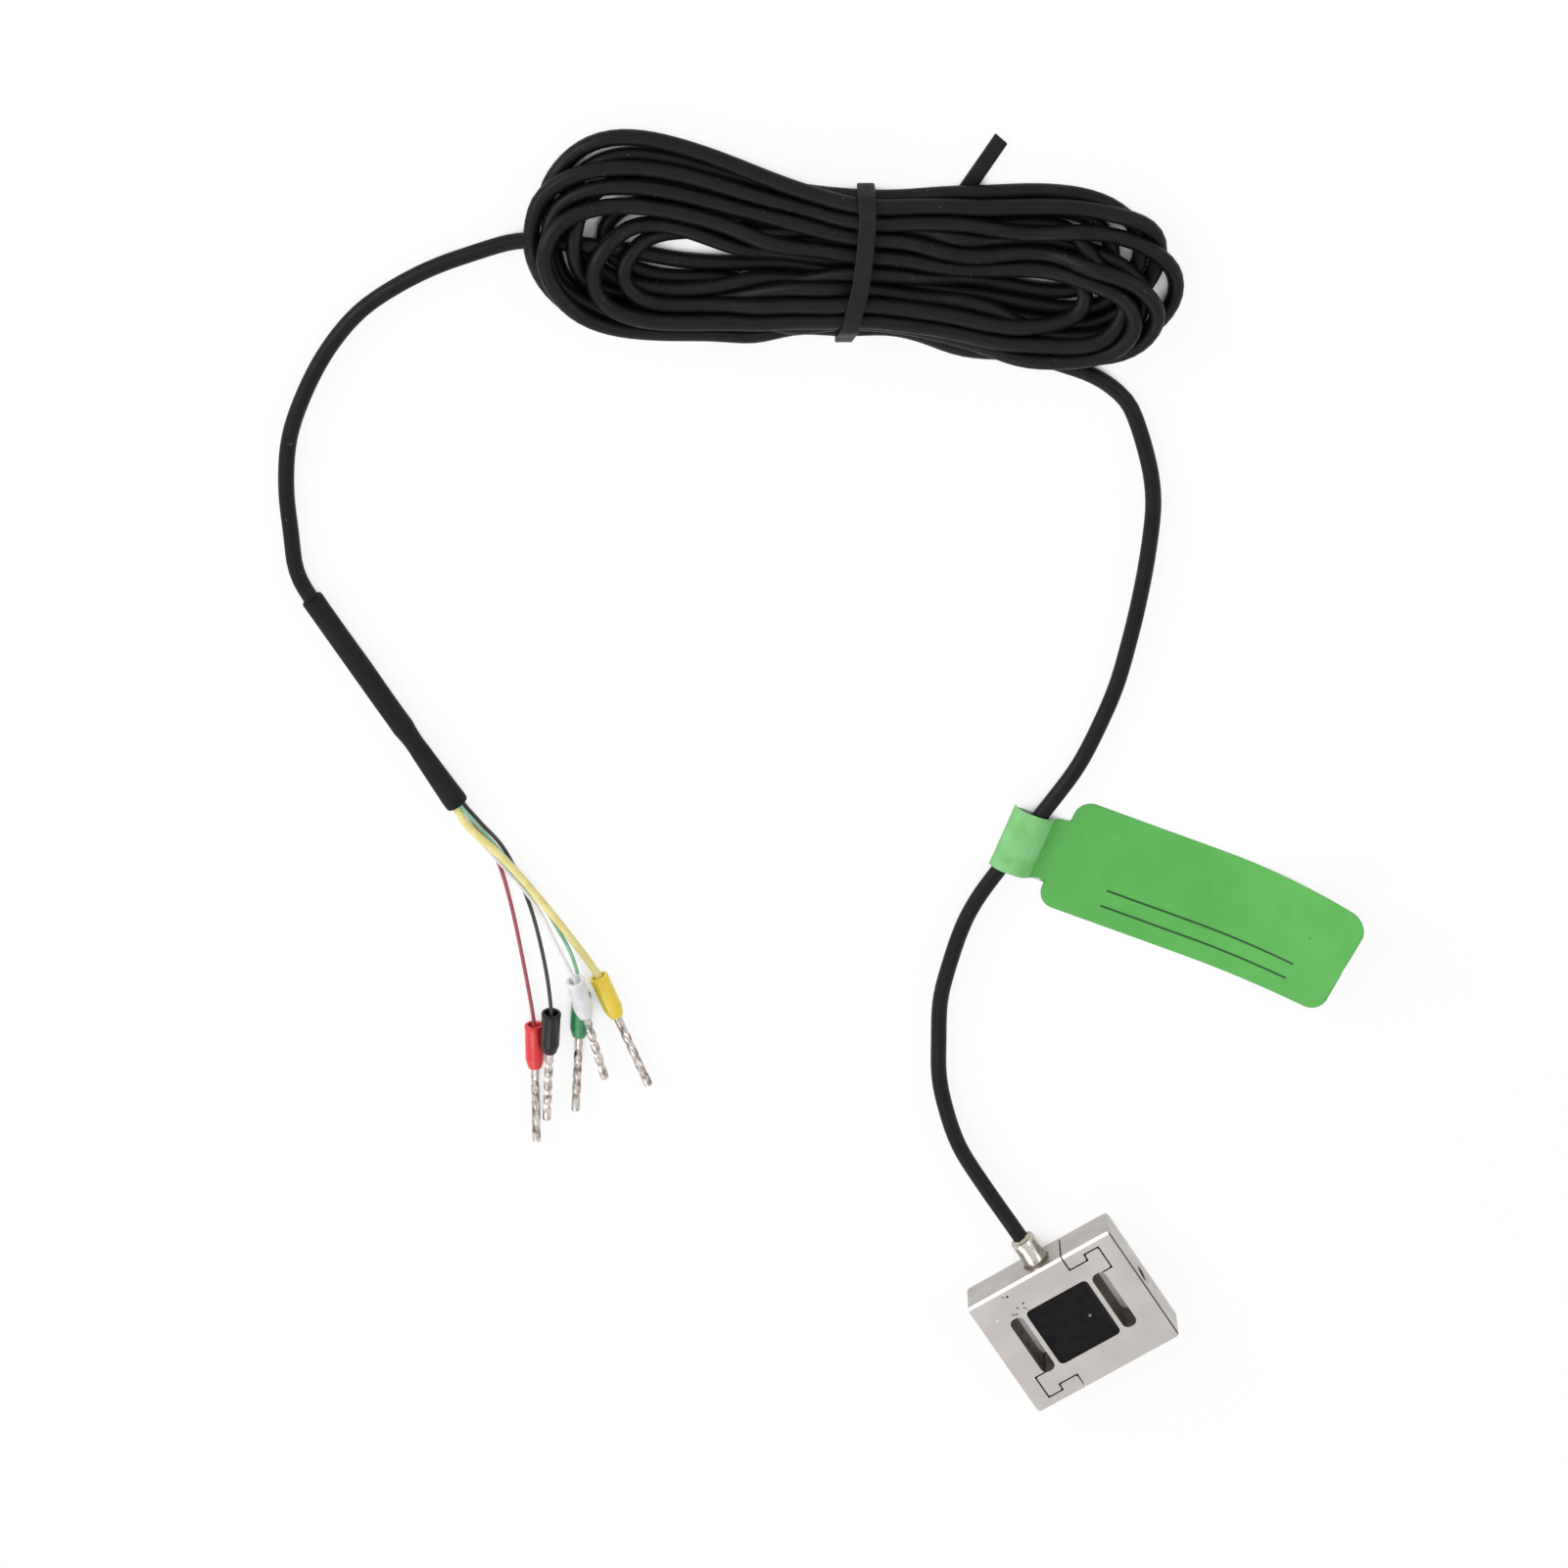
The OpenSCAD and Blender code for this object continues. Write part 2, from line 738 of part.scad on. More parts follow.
module pin_yellow() {
    ferrule_pin(ferrule_yellow);
}

// Flat outline of the label, in its own frame: a rounded flag and the narrower neck
module label_outline() {
    translate([neck_length + flag_length / 2, 0])
        rounded_rectangle(flag_length, flag_width, flag_round);
    translate([0, -neck_width / 2])
        square([neck_length + flag_round, neck_width]);
}

// Points along the flag's curl, a depth below its outer face
function flag_curl(depth) = [
    for (i = [0:curl_steps])
        let (angle = i * curl_angle / curl_steps, radius = curl_radius - depth)
            [curl_start + radius * sin(angle), label_thickness + curl_radius - radius * cos(angle)]
];

// Section along the label: folded under the cable, back over it, stuck flat and curled up
module label_section() {
    over = cable_diameter + label_thickness + label_bed + 0.3;
    under = eps;
    inner = under + label_thickness;
    stuck = label_thickness + flag_thickness;
    shoulder = 5;
    lower = [[0.15, 0.3], [0.6, under], [shoulder, under], [neck_length, label_thickness]];
    upper = [
        [neck_length, stuck], [shoulder, over - 0.5], [shoulder - 1, over], [1.2, over],
        [0.6, over - 0.2], [0.15, over - 0.9], [0, 0.9]
    ];
    upper_face = flag_curl(flag_thickness);
    difference() {
        polygon(concat(
            lower, flag_curl(0), [for (i = [curl_steps:-1:0]) upper_face[i]], upper
        ));
        polygon([
            [label_thickness, 0.9], [0.28, 0.42], [0.66, inner], [shoulder, inner],
            [neck_length - 0.5, stuck - 0.15], [neck_length - 0.5, stuck + 0.3],
            [shoulder - 0.1, over - 0.5 - label_thickness], [shoulder - 1.05, over - label_thickness],
            [1.25, over - label_thickness], [0.72, over - 0.2 - label_thickness], [0.3, over - 0.95]
        ]);
    }
}

// Self-adhesive flag label, looped round the cable and stuck to itself
module cable_label() {
    color([0.37, 0.73, 0.34])
        translate(label_place)
            rotate(label_heading)
                intersection() {
                    translate([0, flag_width / 2 + 1, 0])
                        rotate([90, 0, 0])
                            linear_extrude(flag_width + 2)
                                label_section();
                    translate([0, 0, -1])
                        linear_extrude(flag_length)
                            label_outline();
                }
}

sensor_body();
window_potting();
strain_gauge_1();
strain_gauge_2();
strain_gauge_3();
strain_gauge_4();
terminal_board();
trim_resistor();
cable_cores();
bridge_wires();
cable_gland();
gland_bead();
exit_glue();
cable_lead();
cable_hank();
cable_tail();
heat_shrink();
wire_red();
wire_black();
wire_green();
wire_white();
wire_yellow();
collar_red();
collar_black();
collar_green();
collar_white();
collar_yellow();
pin_red();
pin_black();
pin_green();
pin_white();
pin_yellow();
hank_tie();
cable_label();
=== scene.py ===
"""Looks of a miniature S-type load cell, its signal cable wound, tied and labelled as it ships.

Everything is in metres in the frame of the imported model. Sizes are written in millimetres and
turned to metres by MM, because that is how the parts are drawn.
"""

import logging
import math
from collections.abc import Callable, Sequence
from dataclasses import dataclass, field
from enum import Enum

import bpy
import numpy as np
from mathutils import Matrix, Vector


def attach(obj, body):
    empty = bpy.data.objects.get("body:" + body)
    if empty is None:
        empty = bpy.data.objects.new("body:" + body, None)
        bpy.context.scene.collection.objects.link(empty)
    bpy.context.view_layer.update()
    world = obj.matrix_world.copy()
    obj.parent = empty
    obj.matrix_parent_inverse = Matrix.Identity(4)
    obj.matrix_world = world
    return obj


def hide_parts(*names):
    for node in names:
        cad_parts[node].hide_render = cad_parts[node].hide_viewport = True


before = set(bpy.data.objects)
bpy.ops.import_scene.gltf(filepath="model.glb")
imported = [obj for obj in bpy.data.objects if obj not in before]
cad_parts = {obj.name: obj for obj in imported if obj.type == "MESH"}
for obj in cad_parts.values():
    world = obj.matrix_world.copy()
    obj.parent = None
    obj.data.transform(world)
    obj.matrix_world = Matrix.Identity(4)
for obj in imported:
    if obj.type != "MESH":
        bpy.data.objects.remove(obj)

MM = 0.001
BODY = "root"
LOG = logging.getLogger("load_cell")

Point = tuple[float, float, float]
Link = bpy.types.NodeSocket
Setting = float | int | str | bool | Sequence[float] | Link


def linear(code: str) -> tuple[float, float, float, float]:
    """Turns an sRGB hex colour into the linear one that the shaders use.

    Args:
        code: The colour, as "#rrggbb".

    Returns:
        Red, green, blue and an alpha of one.
    """
    parts = [int(code[i : i + 2], 16) / 255 for i in (1, 3, 5)]
    toned = [c / 12.92 if c <= 0.04045 else ((c + 0.055) / 1.055) ** 2.4 for c in parts]
    return (toned[0], toned[1], toned[2], 1.0)


class Surface:
    """A material's node tree, built up node by node."""

    def __init__(self, name: str) -> None:
        """Starts an empty material with its output.

        Args:
            name: The name of the real finish.
        """
        self.material = bpy.data.materials.new(name)
        self.material.use_nodes = True
        self.tree = self.material.node_tree
        self.tree.nodes.clear()
        self.output = self.tree.nodes.new("ShaderNodeOutputMaterial")
        self.place = self.add("TexCoord", {}, "Object")

    def add(self, kind: str, inputs: dict[str | int, Setting], output: str | int = 0,
            **settings: Setting) -> Link:
        """Adds a node with its settings, values and links.

        Args:
            kind: The node's type without "ShaderNode".
            inputs: Sockets by name or number, each a value or the socket that feeds it.
            output: The output that is wanted, by name or number.
            settings: The node's own properties.

        Returns:
            The wanted output.
        """
        made = self.tree.nodes.new("ShaderNode" + kind)
        for name, value in settings.items():
            setattr(made, name, value)
        for key, value in inputs.items():
            if isinstance(value, Link):
                self.tree.links.new(value, made.inputs[key])
            else:
                made.inputs[key].default_value = value
        return made.outputs[output]

    def features(self, size: float, detail: float) -> dict[str | int, Setting]:
        """What a noise needs for features so many millimetres apart, with finer ones on them."""
        return {"Vector": self.place, "Scale": 1 / (size * MM), "Detail": detail}

    def patches(self, size: float, detail: float, limits: tuple[float, float],
                values: tuple[float, float] = (0, 1)) -> Link:
        """Soft patches of a real size, with one value between them and another inside.

        Args:
            size: Distance between patches in millimetres.
            detail: How many finer layers lie on them.
            limits: The noise at which a patch starts, and where it is whole.
            values: The value between the patches, and the one inside.

        Returns:
            The value at each point.
        """
        noise = self.add("TexNoise", self.features(size, detail), "Fac")
        steps = {"Value": noise, "From Min": limits[0], "From Max": limits[1],
                 "To Min": values[0], "To Max": values[1]}
        return self.add("MapRange", steps, "Result", interpolation_type="SMOOTHSTEP")

    def grain(self, size: float, detail: float, depth: float, strength: float) -> Link:
        """Fine unevenness of a real size and depth, as the finish has under the fingertip.

        Args:
            size: Distance between its bumps in millimetres.
            detail: How many finer layers lie on them.
            depth: Their height in millimetres.
            strength: How far they are followed.

        Returns:
            The surface's normal.
        """
        height = self.add("TexNoise", self.features(size, detail), "Fac")
        inputs = {"Height": height, "Distance": depth * MM, "Strength": strength}
        return self.add("Bump", inputs, "Normal")

    def joined(self, operation: str, shares: Sequence[Setting]) -> Link:
        """Joins shares to one.

        Args:
            operation: MULTIPLY for what lies in all of them, MAXIMUM for what lies in any.
            shares: The shares.

        Returns:
            The joined share.
        """
        whole = shares[0]
        for share in shares[1:]:
            whole = self.add("Math", {0: whole, 1: share}, operation=operation)
        return whole

    def zone(self, *edges: tuple[Link, float, float]) -> Link:
        """Share of a zone of the piece that has soft edges.

        Args:
            edges: For each edge the value in metres that tells on which side a point is, and where
                that value is outside and where it is inside, in millimetres.

        Returns:
            One inside every edge and nought outside any.
        """
        shares = []
        for value, outside, inside in edges:
            limits = {"Value": value, "From Min": outside * MM, "From Max": inside * MM}
            shares.append(self.add("MapRange", limits, "Result", interpolation_type="SMOOTHSTEP"))
        return self.joined("MULTIPLY", shares)

    def mark(self, spot: "Spot", grain: float, halo: float, outer: float) -> Link:
        """Share of a mark on a level face at each point, ragged at its rim.

        Args:
            spot: The mark.
            grain: Size of the raggedness in millimetres.
            halo: How far the mark's rim reaches past its radius, in millimetres.
            outer: Where it has faded out, as a share of its whole reach.

        Returns:
            One inside the mark and nought outside it.
        """
        flat = self.add("VectorMath", {0: self.place, 1: (1, 1, 0)}, operation="MULTIPLY")
        centre = (spot.x * MM, spot.y * MM, 0)
        away = self.add("VectorMath", {0: flat, 1: centre}, "Value", operation="DISTANCE")
        noise = self.add("TexNoise", self.features(grain, 2), "Fac")
        ragged = self.add("Math", {0: noise, 1: 0.12 * MM, 2: away}, operation="MULTIPLY_ADD")
        reach = spot.radius + halo
        return self.zone((ragged, outer * reach, 0.6 * reach))

    def coated(self, colour: str, coats: Sequence[tuple[Link, str]]) -> Link:
        """A colour with others laid over it, each where its own share says.

        Args:
            colour: The first colour, as "#rrggbb".
            coats: The share and the colour of each coat, in the order in which they are laid.

        Returns:
            The colour at each point.
        """
        whole = linear(colour)
        for share, coat in coats:
            whole = self.add("Mix", {0: share, 6: whole, 7: linear(coat)}, 2, data_type="RGBA")
        return whole

    def finish(self, inputs: dict[str, Setting]) -> bpy.types.Material:
        """Ends the tree in a Principled shader.

        Args:
            inputs: The shader's sockets, each a value or the socket that feeds it.

        Returns:
            The finished material.
        """
        self.tree.links.new(self.add("BsdfPrincipled", inputs), self.output.inputs["Surface"])
        return self.material


@dataclass(frozen=True)
class Spot:
    """A small mark on a flat face, such as a pit or a speck of dirt."""

    x: float
    y: float
    radius: float


@dataclass(frozen=True)
class GroundSteel:
    """Stainless steel, milled and then ground to a satin face.

    The eye sees a soft grey sheen with faint cloudiness, a painted highlight along the top edge
    towards the cable, painted shade along the top edge at the end, eroded brownish walls inside
    the relief slots, a few dark pits near one corner, and one pale nick.
    """

    name: str = "ground stainless steel"
    colour: str = "#BDB8B4"
    shade: str = "#B4AFAB"
    wall: str = "#8A8379"
    # Painted highlight and painted shade, laid on the top edges at the +Y and +X ends.
    painted_highlight: str = "#FDFDFC"
    painted_shade: str = "#6A6562"
    pit: str = "#2A2422"
    # Real grinding marks are finer than the picture can show, so they are drawn this coarse.
    grit: float = 0.09
    roughness: float = 0.34
    slot_inner: float = 5.12
    slot_outer: float = 7.12
    slot_end: float = 4.47
    slot_soft: float = 0.02
    face_z: float = 5.3
    rim_z: float = 5.2
    edge_soft: float = 0.03
    # Where the painted highlight starts along Y and the painted shade along X.
    highlight_from_y: float = 8.5
    shade_from_x: float = 10.44
    pits: tuple[Spot, ...] = (
        Spot(-5.26, 7.69, 0.16),
        Spot(-5.83, 7.92, 0.08),
        Spot(-4.00, 5.81, 0.13),
        Spot(-4.99, 5.60, 0.12),
        Spot(-4.23, 5.19, 0.10),
        Spot(-4.03, 4.87, 0.07),
        Spot(-5.50, 4.86, 0.10),
        Spot(-5.80, 4.98, 0.09),
        Spot(-6.06, 5.09, 0.08),
    )
    nick: Spot = Spot(-8.14, 5.37, 0.22)
    nick_colour: str = "#EDE8E4"

    def material(self) -> bpy.types.Material:
        """Builds the material.

        Returns:
            The finished material.
        """
        s = Surface(self.name)
        x, y, z = s.add("SeparateXYZ", {0: s.place}).node.outputs
        beside = s.add("Math", {0: x}, operation="ABSOLUTE")
        lengthways = s.add("Math", {0: y}, operation="ABSOLUTE")
        slots = s.zone(
            (beside, self.slot_inner, self.slot_inner + self.slot_soft),
            (beside, self.slot_outer + self.slot_soft, self.slot_outer),
            (lengthways, self.slot_end + self.slot_soft, self.slot_end),
            (z, self.face_z, self.face_z - 0.1),
        )
        eroded = s.joined("MULTIPLY", [slots, s.patches(1.6, 4, (0.25, 0.6), (0.75, 1))])
        rim = (z, self.rim_z - self.edge_soft, self.rim_z)
        # Painted highlight on the +Y top edge and painted shade on the +X top edge.
        bright = s.zone((y, self.highlight_from_y - self.edge_soft, self.highlight_from_y), rim)
        dark = s.zone((x, self.shade_from_x - self.edge_soft, self.shade_from_x), rim)
        top = s.zone((z, self.face_z - 0.05, self.face_z))
        marks = s.joined("MAXIMUM", [s.mark(pit, 0.12, 0.1, 1.15) for pit in self.pits])
        nick = s.mark(self.nick, 0.12, 0.1, 1.15)
        rough = s.patches(2.5, 3, (0.3, 0.7), (self.roughness - 0.04, self.roughness + 0.05))
        for share, dulled in ((eroded, 0.25), (marks, 0.3)):
            rough = s.add("Math", {0: share, 1: dulled, 2: rough}, operation="MULTIPLY_ADD")
        coats = [
            (s.patches(5, 2, (0.35, 0.65)), self.shade),
            (eroded, self.wall),
            # The next two coats are the painted highlight and the painted shade.
            (bright, self.painted_highlight),
            (dark, self.painted_shade),
            (s.joined("MULTIPLY", [marks, top]), self.pit),
            (s.joined("MULTIPLY", [nick, top, 0.4]), self.nick_colour),
        ]
        return s.finish({
            "Base Color": s.coated(self.colour, coats),
            "Metallic": 1.0,
            "Roughness": rough,
            "Normal": s.grain(self.grit, 2, 0.004, 0.5),
        })


@dataclass(frozen=True)
class CastCompound:
    """Black epoxy potting that set in the window, smooth and a little glossy.

    The eye sees near black with a faint broad sheen, fine dust and one tan fleck.
    """

    name: str = "black epoxy potting"
    colour: str = "#0F0E11"
    sheen: str = "#171619"
    fleck: Spot = Spot(2.25, -0.4, 0.22)
    fleck_colour: str = "#9A8F82"
    roughness: float = 0.36
    ior: float = 1.2

    def material(self) -> bpy.types.Material:
        """Builds the material.

        Returns:
            The finished material.
        """
        s = Surface(self.name)
        coats = [
            (s.patches(1.4, 3, (0.4, 0.7)), self.sheen),
            (s.mark(self.fleck, 0.15, 0.06, 1.2), self.fleck_colour),
        ]
        gloss = (self.roughness - 0.05, self.roughness + 0.08)
        return s.finish({
            "Base Color": s.coated(self.colour, coats),
            "Roughness": s.patches(0.8, 3, (0.3, 0.7), gloss),
            "IOR": self.ior,
            "Normal": s.grain(0.25, 2, 0.01, 0.35),
        })


@dataclass(frozen=True)
class Plastic:
    """A moulded, extruded or insulating plastic or resin in one colour.

    The eye sees slight mottling of the colour, uneven gloss and the fine texture of its skin.
    """

    name: str
    colour: str
    shade: str
    roughness: float
    # A real skin's texture is too fine to show, so its grain is drawn coarser.
    grain: float = 0.2
    depth: float = 0.004
    mottle: float = 1.5
    ior: float = 1.5
    coat: float = 0.0
    glow: float = 0.0
    dust: str = ""

    def material(self) -> bpy.types.Material:
        """Builds the material.

        Returns:
            The finished material.
        """
        s = Surface(self.name)
        coats = [(s.patches(self.mottle, 4, (0.35, 0.65)), self.shade)]
        if self.dust:
            coats.append((s.patches(0.6, 1, (0.76, 0.8), (0, 0.6)), self.dust))
        gloss = (self.roughness - 0.05, self.roughness + 0.06)
        inputs = {
            "Base Color": s.coated(self.colour, coats),
            "Roughness": s.patches(self.mottle * 0.6, 3, (0.3, 0.7), gloss),
            "IOR": self.ior,
            "Coat Weight": self.coat,
            "Coat Roughness": 0.12,
            "Normal": s.grain(self.grain, 2, self.depth, 0.6),
        }
        if self.glow:
            inputs |= {"Subsurface Weight": self.glow, "Subsurface Scale": 0.6 * MM}
            inputs["Subsurface Radius"] = (1, 1, 1)
        return s.finish(inputs)


@dataclass(frozen=True)
class PlatedMetal:
    """A thin plated or tinned metal part.

    The eye sees bright, slightly smeared reflections with a warm tint and dull patches.
    """

    name: str
    colour: str
    tarnish: str
    roughness: float
    grain: float = 0.12
    depth: float = 0.006

    def material(self) -> bpy.types.Material:
        """Builds the material.

        Returns:
            The finished material.
        """
        s = Surface(self.name)
        dull = s.patches(0.9, 4, (0.4, 0.7))
        smears = (self.roughness - 0.05, self.roughness + 0.12)
        return s.finish({
            "Base Color": s.coated(self.colour, [(dull, self.tarnish)]),
            "Metallic": 1.0,
            "Roughness": s.patches(0.6, 3, (0.3, 0.7), smears),
            "Normal": s.grain(self.grain, 2, self.depth, 0.5),
        })


@dataclass(frozen=True)
class LabelFilm:
    """Green polypropylene label film with a matt face and a pale adhesive side.

    The eye sees an even leaf green with a faint cloudiness, the paler glossy neck where the film
    is stretched over the cable, the whitish adhesive side, and two plain rules to write on.
    """

    name: str = "green polypropylene label film"
    colour: str = "#5AB351"
    shade: str = "#55AD4D"
    neck: str = "#86CB84"
    adhesive: str = "#E4E4E6"
    ink: str = "#123F1E"
    speck: str = "#2F8A3C"
    roughness: float = 0.52
    ior: float = 1.49

    def material(self, label: "FlagLabel") -> bpy.types.Material:
        """Builds the material for a label.

        Args:
            label: The label, whose map runs along and across the unfolded film in metres.

        Returns:
            The finished material.
        """
        s = Surface(self.name)
        film = s.add("UVMap", {}, uv_map=label.map_name)
        along, across, _ = s.add("SeparateXYZ", {0: film}).node.outputs
        fold, crease, flag = label.fold_at, label.crease_at, label.lower_flag
        neck = s.zone((along, fold, fold + 1), (along, crease, crease - 0.5))
        stretched = s.joined("MULTIPLY", [neck, s.patches(2.2, 2, (0.3, 0.7), (0.45, 1))])
        under = s.zone((along, flag + 0.3, flag + 0.8), (along, fold + 0.3, fold))
        rules = []
        for start, end, place in label.rules():
            offset = s.add("Math", {0: across, 1: place * MM}, operation="SUBTRACT")
            off = s.add("Math", {0: offset}, operation="ABSOLUTE")
            rules.append(s.zone((along, start, start + 0.1), (along, end, end - 0.1),
                                (off, 0.6 * label.rule_width, 0.4 * label.rule_width)))
        spot = (label.speck_along * MM, label.speck_across * MM, 0)
        away = s.add("VectorMath", {0: film, 1: spot}, "Value", operation="DISTANCE")
        speck = s.joined("MULTIPLY", [s.zone((away, 0.28, 0.1)), 0.8])
        coats = [
            (s.patches(6, 4, (0.35, 0.65)), self.shade),
            (stretched, self.neck),
            (under, self.adhesive),
            (s.joined("MAXIMUM", rules), self.ink),
            (speck, self.speck),
        ]
        matt = s.patches(3, 3, (0.3, 0.7), (self.roughness - 0.04, self.roughness + 0.05))
        return s.finish({
            "Base Color": s.coated(self.colour, coats),
            "Roughness": s.add("Math", {0: neck, 1: -0.22, 2: matt}, operation="MULTIPLY_ADD"),
            "IOR": self.ior,
            "Normal": s.grain(0.5, 2, 0.004, 0.4),
        })


STEEL = GroundSteel()
POTTING = CastCompound()
LABEL_FILM = LabelFilm()
# Extruded soft PVC gives a broad dull sheen along the cable, with specks of pale dust.
JACKET = Plastic("black PVC cable jacket", "#100F11", "#0B0A0C", 0.46, 0.35, 0.01, 3, ior=1.27,
                 dust="#5A5652")
# Shrunk polyolefin is matt and shows almost no highlight.
SHRINK = Plastic("black polyolefin heat-shrink", "#171616", "#121111", 0.62, 0.3, 0.01, 2, ior=1.27)
# The flat extruded strip is as dark as the cable, with a slight sheen on its faces.
TIE_PLASTIC = Plastic("black PVC tie strip", "#141414", "#0E0E0E", 0.5, 0.25, 0.006, 1.5, ior=1.3)
# Nickel on drawn brass mirrors the room in a warm white.
NICKEL = PlatedMetal("nickel-plated brass", "#C6C1B9", "#A39C92", 0.16)
# Tin on rolled copper is bright, and grey where the crimping tool smeared it.
TIN = PlatedMetal("tin-plated copper", "#CFC9C2", "#7A7068", 0.16)
# Adhesives run by hand: the one at the sleeve's foot dark and uneven, the one at its mouth waxy.
SEALANT = Plastic("dark epoxy bead", "#4A3F36", "#5E5247", 0.4, 0.2, 0.02, 0.5)
HOT_MELT = Plastic("clear adhesive", "#CFC8B8", "#A79E8C", 0.2, 0.3, 0.02, 0.6, glow=0.3)
# Inside the window: cast amber film, pressed green laminate, a glazed chip, extruded insulation
# and varnished wire with a copper sheen.
POLYIMIDE = Plastic("amber polyimide gauge film", "#B9782A", "#A56A22", 0.35, 0.1, 0.002, 0.8)
LAMINATE = Plastic("green glass-epoxy laminate", "#1F5A34", "#1A4F2D", 0.45, 0.08, 0.003, 0.5)
CERAMIC = Plastic("black glazed alumina chip", "#1B1B1D", "#26262A", 0.3, 0.1, 0.002, 0.4)
CORE_SKIN = Plastic("red-brown PVC core insulation", "#8C3A30", "#7C3029", 0.45, 0.2, 0.004, 0.8)
ENAMEL = PlatedMetal("enamelled copper wire", "#B8703F", "#9A5A30", 0.3, 0.05, 0.001)


class Colour(Enum):
    """Colours of the five wires, with the finish of each wire and of its collar."""

    RED = "red"
    BLACK = "black"
    GREEN = "green"
    WHITE = "white"
    YELLOW = "yellow"


# Thin extruded skins of stranded wires look satin, in faded signal colours.
WIRE_SKINS = {
    Colour.RED: Plastic("red PVC wire skin", "#B35560", "#A04A55", 0.45),
    Colour.BLACK: Plastic("black PVC wire skin", "#343132", "#3E3B3B", 0.42),
    Colour.GREEN: Plastic("green PVC wire skin", "#90C8A8", "#82BA9A", 0.45),
    Colour.WHITE: Plastic("white PVC wire skin", "#ECEAE8", "#E0DEDD", 0.45),
    Colour.YELLOW: Plastic("yellow screen sleeve", "#F2E79C", "#EADC8A", 0.5),
}
# Moulded collars have clean glossy colours, and light goes a little way into them.
COLLAR_SKINS = {
    Colour.RED: Plastic("red polypropylene collar", "#E6282B", "#DA2226", 0.3, coat=0.3, glow=0.15),
    Colour.BLACK: Plastic("black polypropylene collar", "#141215", "#1A181B", 0.24, ior=1.3, coat=0.15),
    Colour.GREEN: Plastic("green polypropylene collar", "#2E9A60", "#278D56", 0.32, coat=0.3,
                          glow=0.15),
    Colour.WHITE: Plastic("white polypropylene collar", "#ECECEE", "#E3E3E7", 0.32, coat=0.3, glow=0.3),
    Colour.YELLOW: Plastic("yellow polypropylene collar", "#F9DB3E", "#F3D233", 0.32, coat=0.3,
                           glow=0.2),
}


def deselect() -> None:
    """Leaves nothing selected and no object in edit mode."""
    if bpy.context.object is not None and bpy.context.object.mode != "OBJECT":
        bpy.ops.object.mode_set(mode="OBJECT")
    bpy.ops.object.select_all(action="DESELECT")


def activate(piece: bpy.types.Object) -> None:
    """Selects one object alone and makes it the active one.

    Args:
        piece: The object.
    """
    deselect()
    piece.select_set(True)
    bpy.context.view_layer.objects.active = piece


def select_where(piece: bpy.types.Object, wanted: Callable[[Vector], bool]) -> None:
    """Selects a mesh's vertices by their place and goes into edit mode.

    Args:
        piece: The object being shaped.
        wanted: Says of a vertex's place whether it is selected.
    """
    bpy.ops.object.mode_set(mode="EDIT")
    bpy.ops.mesh.select_mode(type="VERT")
    bpy.ops.mesh.select_all(action="DESELECT")
    bpy.ops.object.mode_set(mode="OBJECT")
    for vertex in piece.data.vertices:
        vertex.select = wanted(vertex.co)
    bpy.ops.object.mode_set(mode="EDIT")


def apply_modifier(piece: bpy.types.Object, kind: str, **settings: Setting) -> None:
    """Adds a modifier with its settings and applies it.

    Args:
        piece: The object that gets it.
        kind: The modifier's type.
        settings: Its properties.
    """
    activate(piece)
    made = piece.modifiers.new(kind.title(), kind)
    for name, value in settings.items():
        setattr(made, name, value)
    bpy.ops.object.modifier_apply(modifier=made.name)


def place_mesh(piece: bpy.types.Object, matrix: Matrix) -> None:
    """Turns and moves a piece to its place and puts that place into its mesh.

    Args:
        piece: The object.
        matrix: Its place in the model's frame.
    """
    activate(piece)
    piece.matrix_world = matrix
    bpy.ops.object.transform_apply(location=True, rotation=True, scale=True)


def own_copy(model: bpy.types.Object) -> bpy.types.Object:
    """Copies an object together with its mesh.

    Args:
        model: The object that is copied.

    Returns:
        The copy, in the scene.
    """
    copy = model.copy()
    copy.data = model.data.copy()
    bpy.context.scene.collection.objects.link(copy)
    return copy


def smooth_by_angle(piece: bpy.types.Object, angle: float = 40.0) -> None:
    """Shades a piece smooth with edges sharper than an angle in degrees kept."""
    activate(piece)
    bpy.ops.object.shade_smooth_by_angle(angle=math.radians(angle))


def put_in_scene(
    piece: bpy.types.Object,
    name: str,
    material: bpy.types.Material,
    nodes: Sequence[str] = (),
) -> bpy.types.Object:
    """Names a finished piece, dresses it and ties it to the model.

    Args:
        piece: The finished object, with its place in its mesh.
        name: The piece's name.
        material: Its finish.
        nodes: The plain solids that it stands for.

    Returns:
        The piece.
    """
    piece.name = name
    piece.data.name = name
    piece.data.materials.clear()
    piece.data.materials.append(material)
    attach(piece, BODY)
    if nodes:
        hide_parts(*nodes)
    LOG.info("made %s", name)
    return piece


def dress_node(name: str, material: bpy.types.Material) -> None:
    """Gives a carried-over solid its finish.

    Args:
        name: The node's name.
        material: The finish for its whole surface.
    """
    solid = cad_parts[name]
    solid.data.materials.clear()
    solid.data.materials.append(material)
    LOG.info("dressed %s", name)


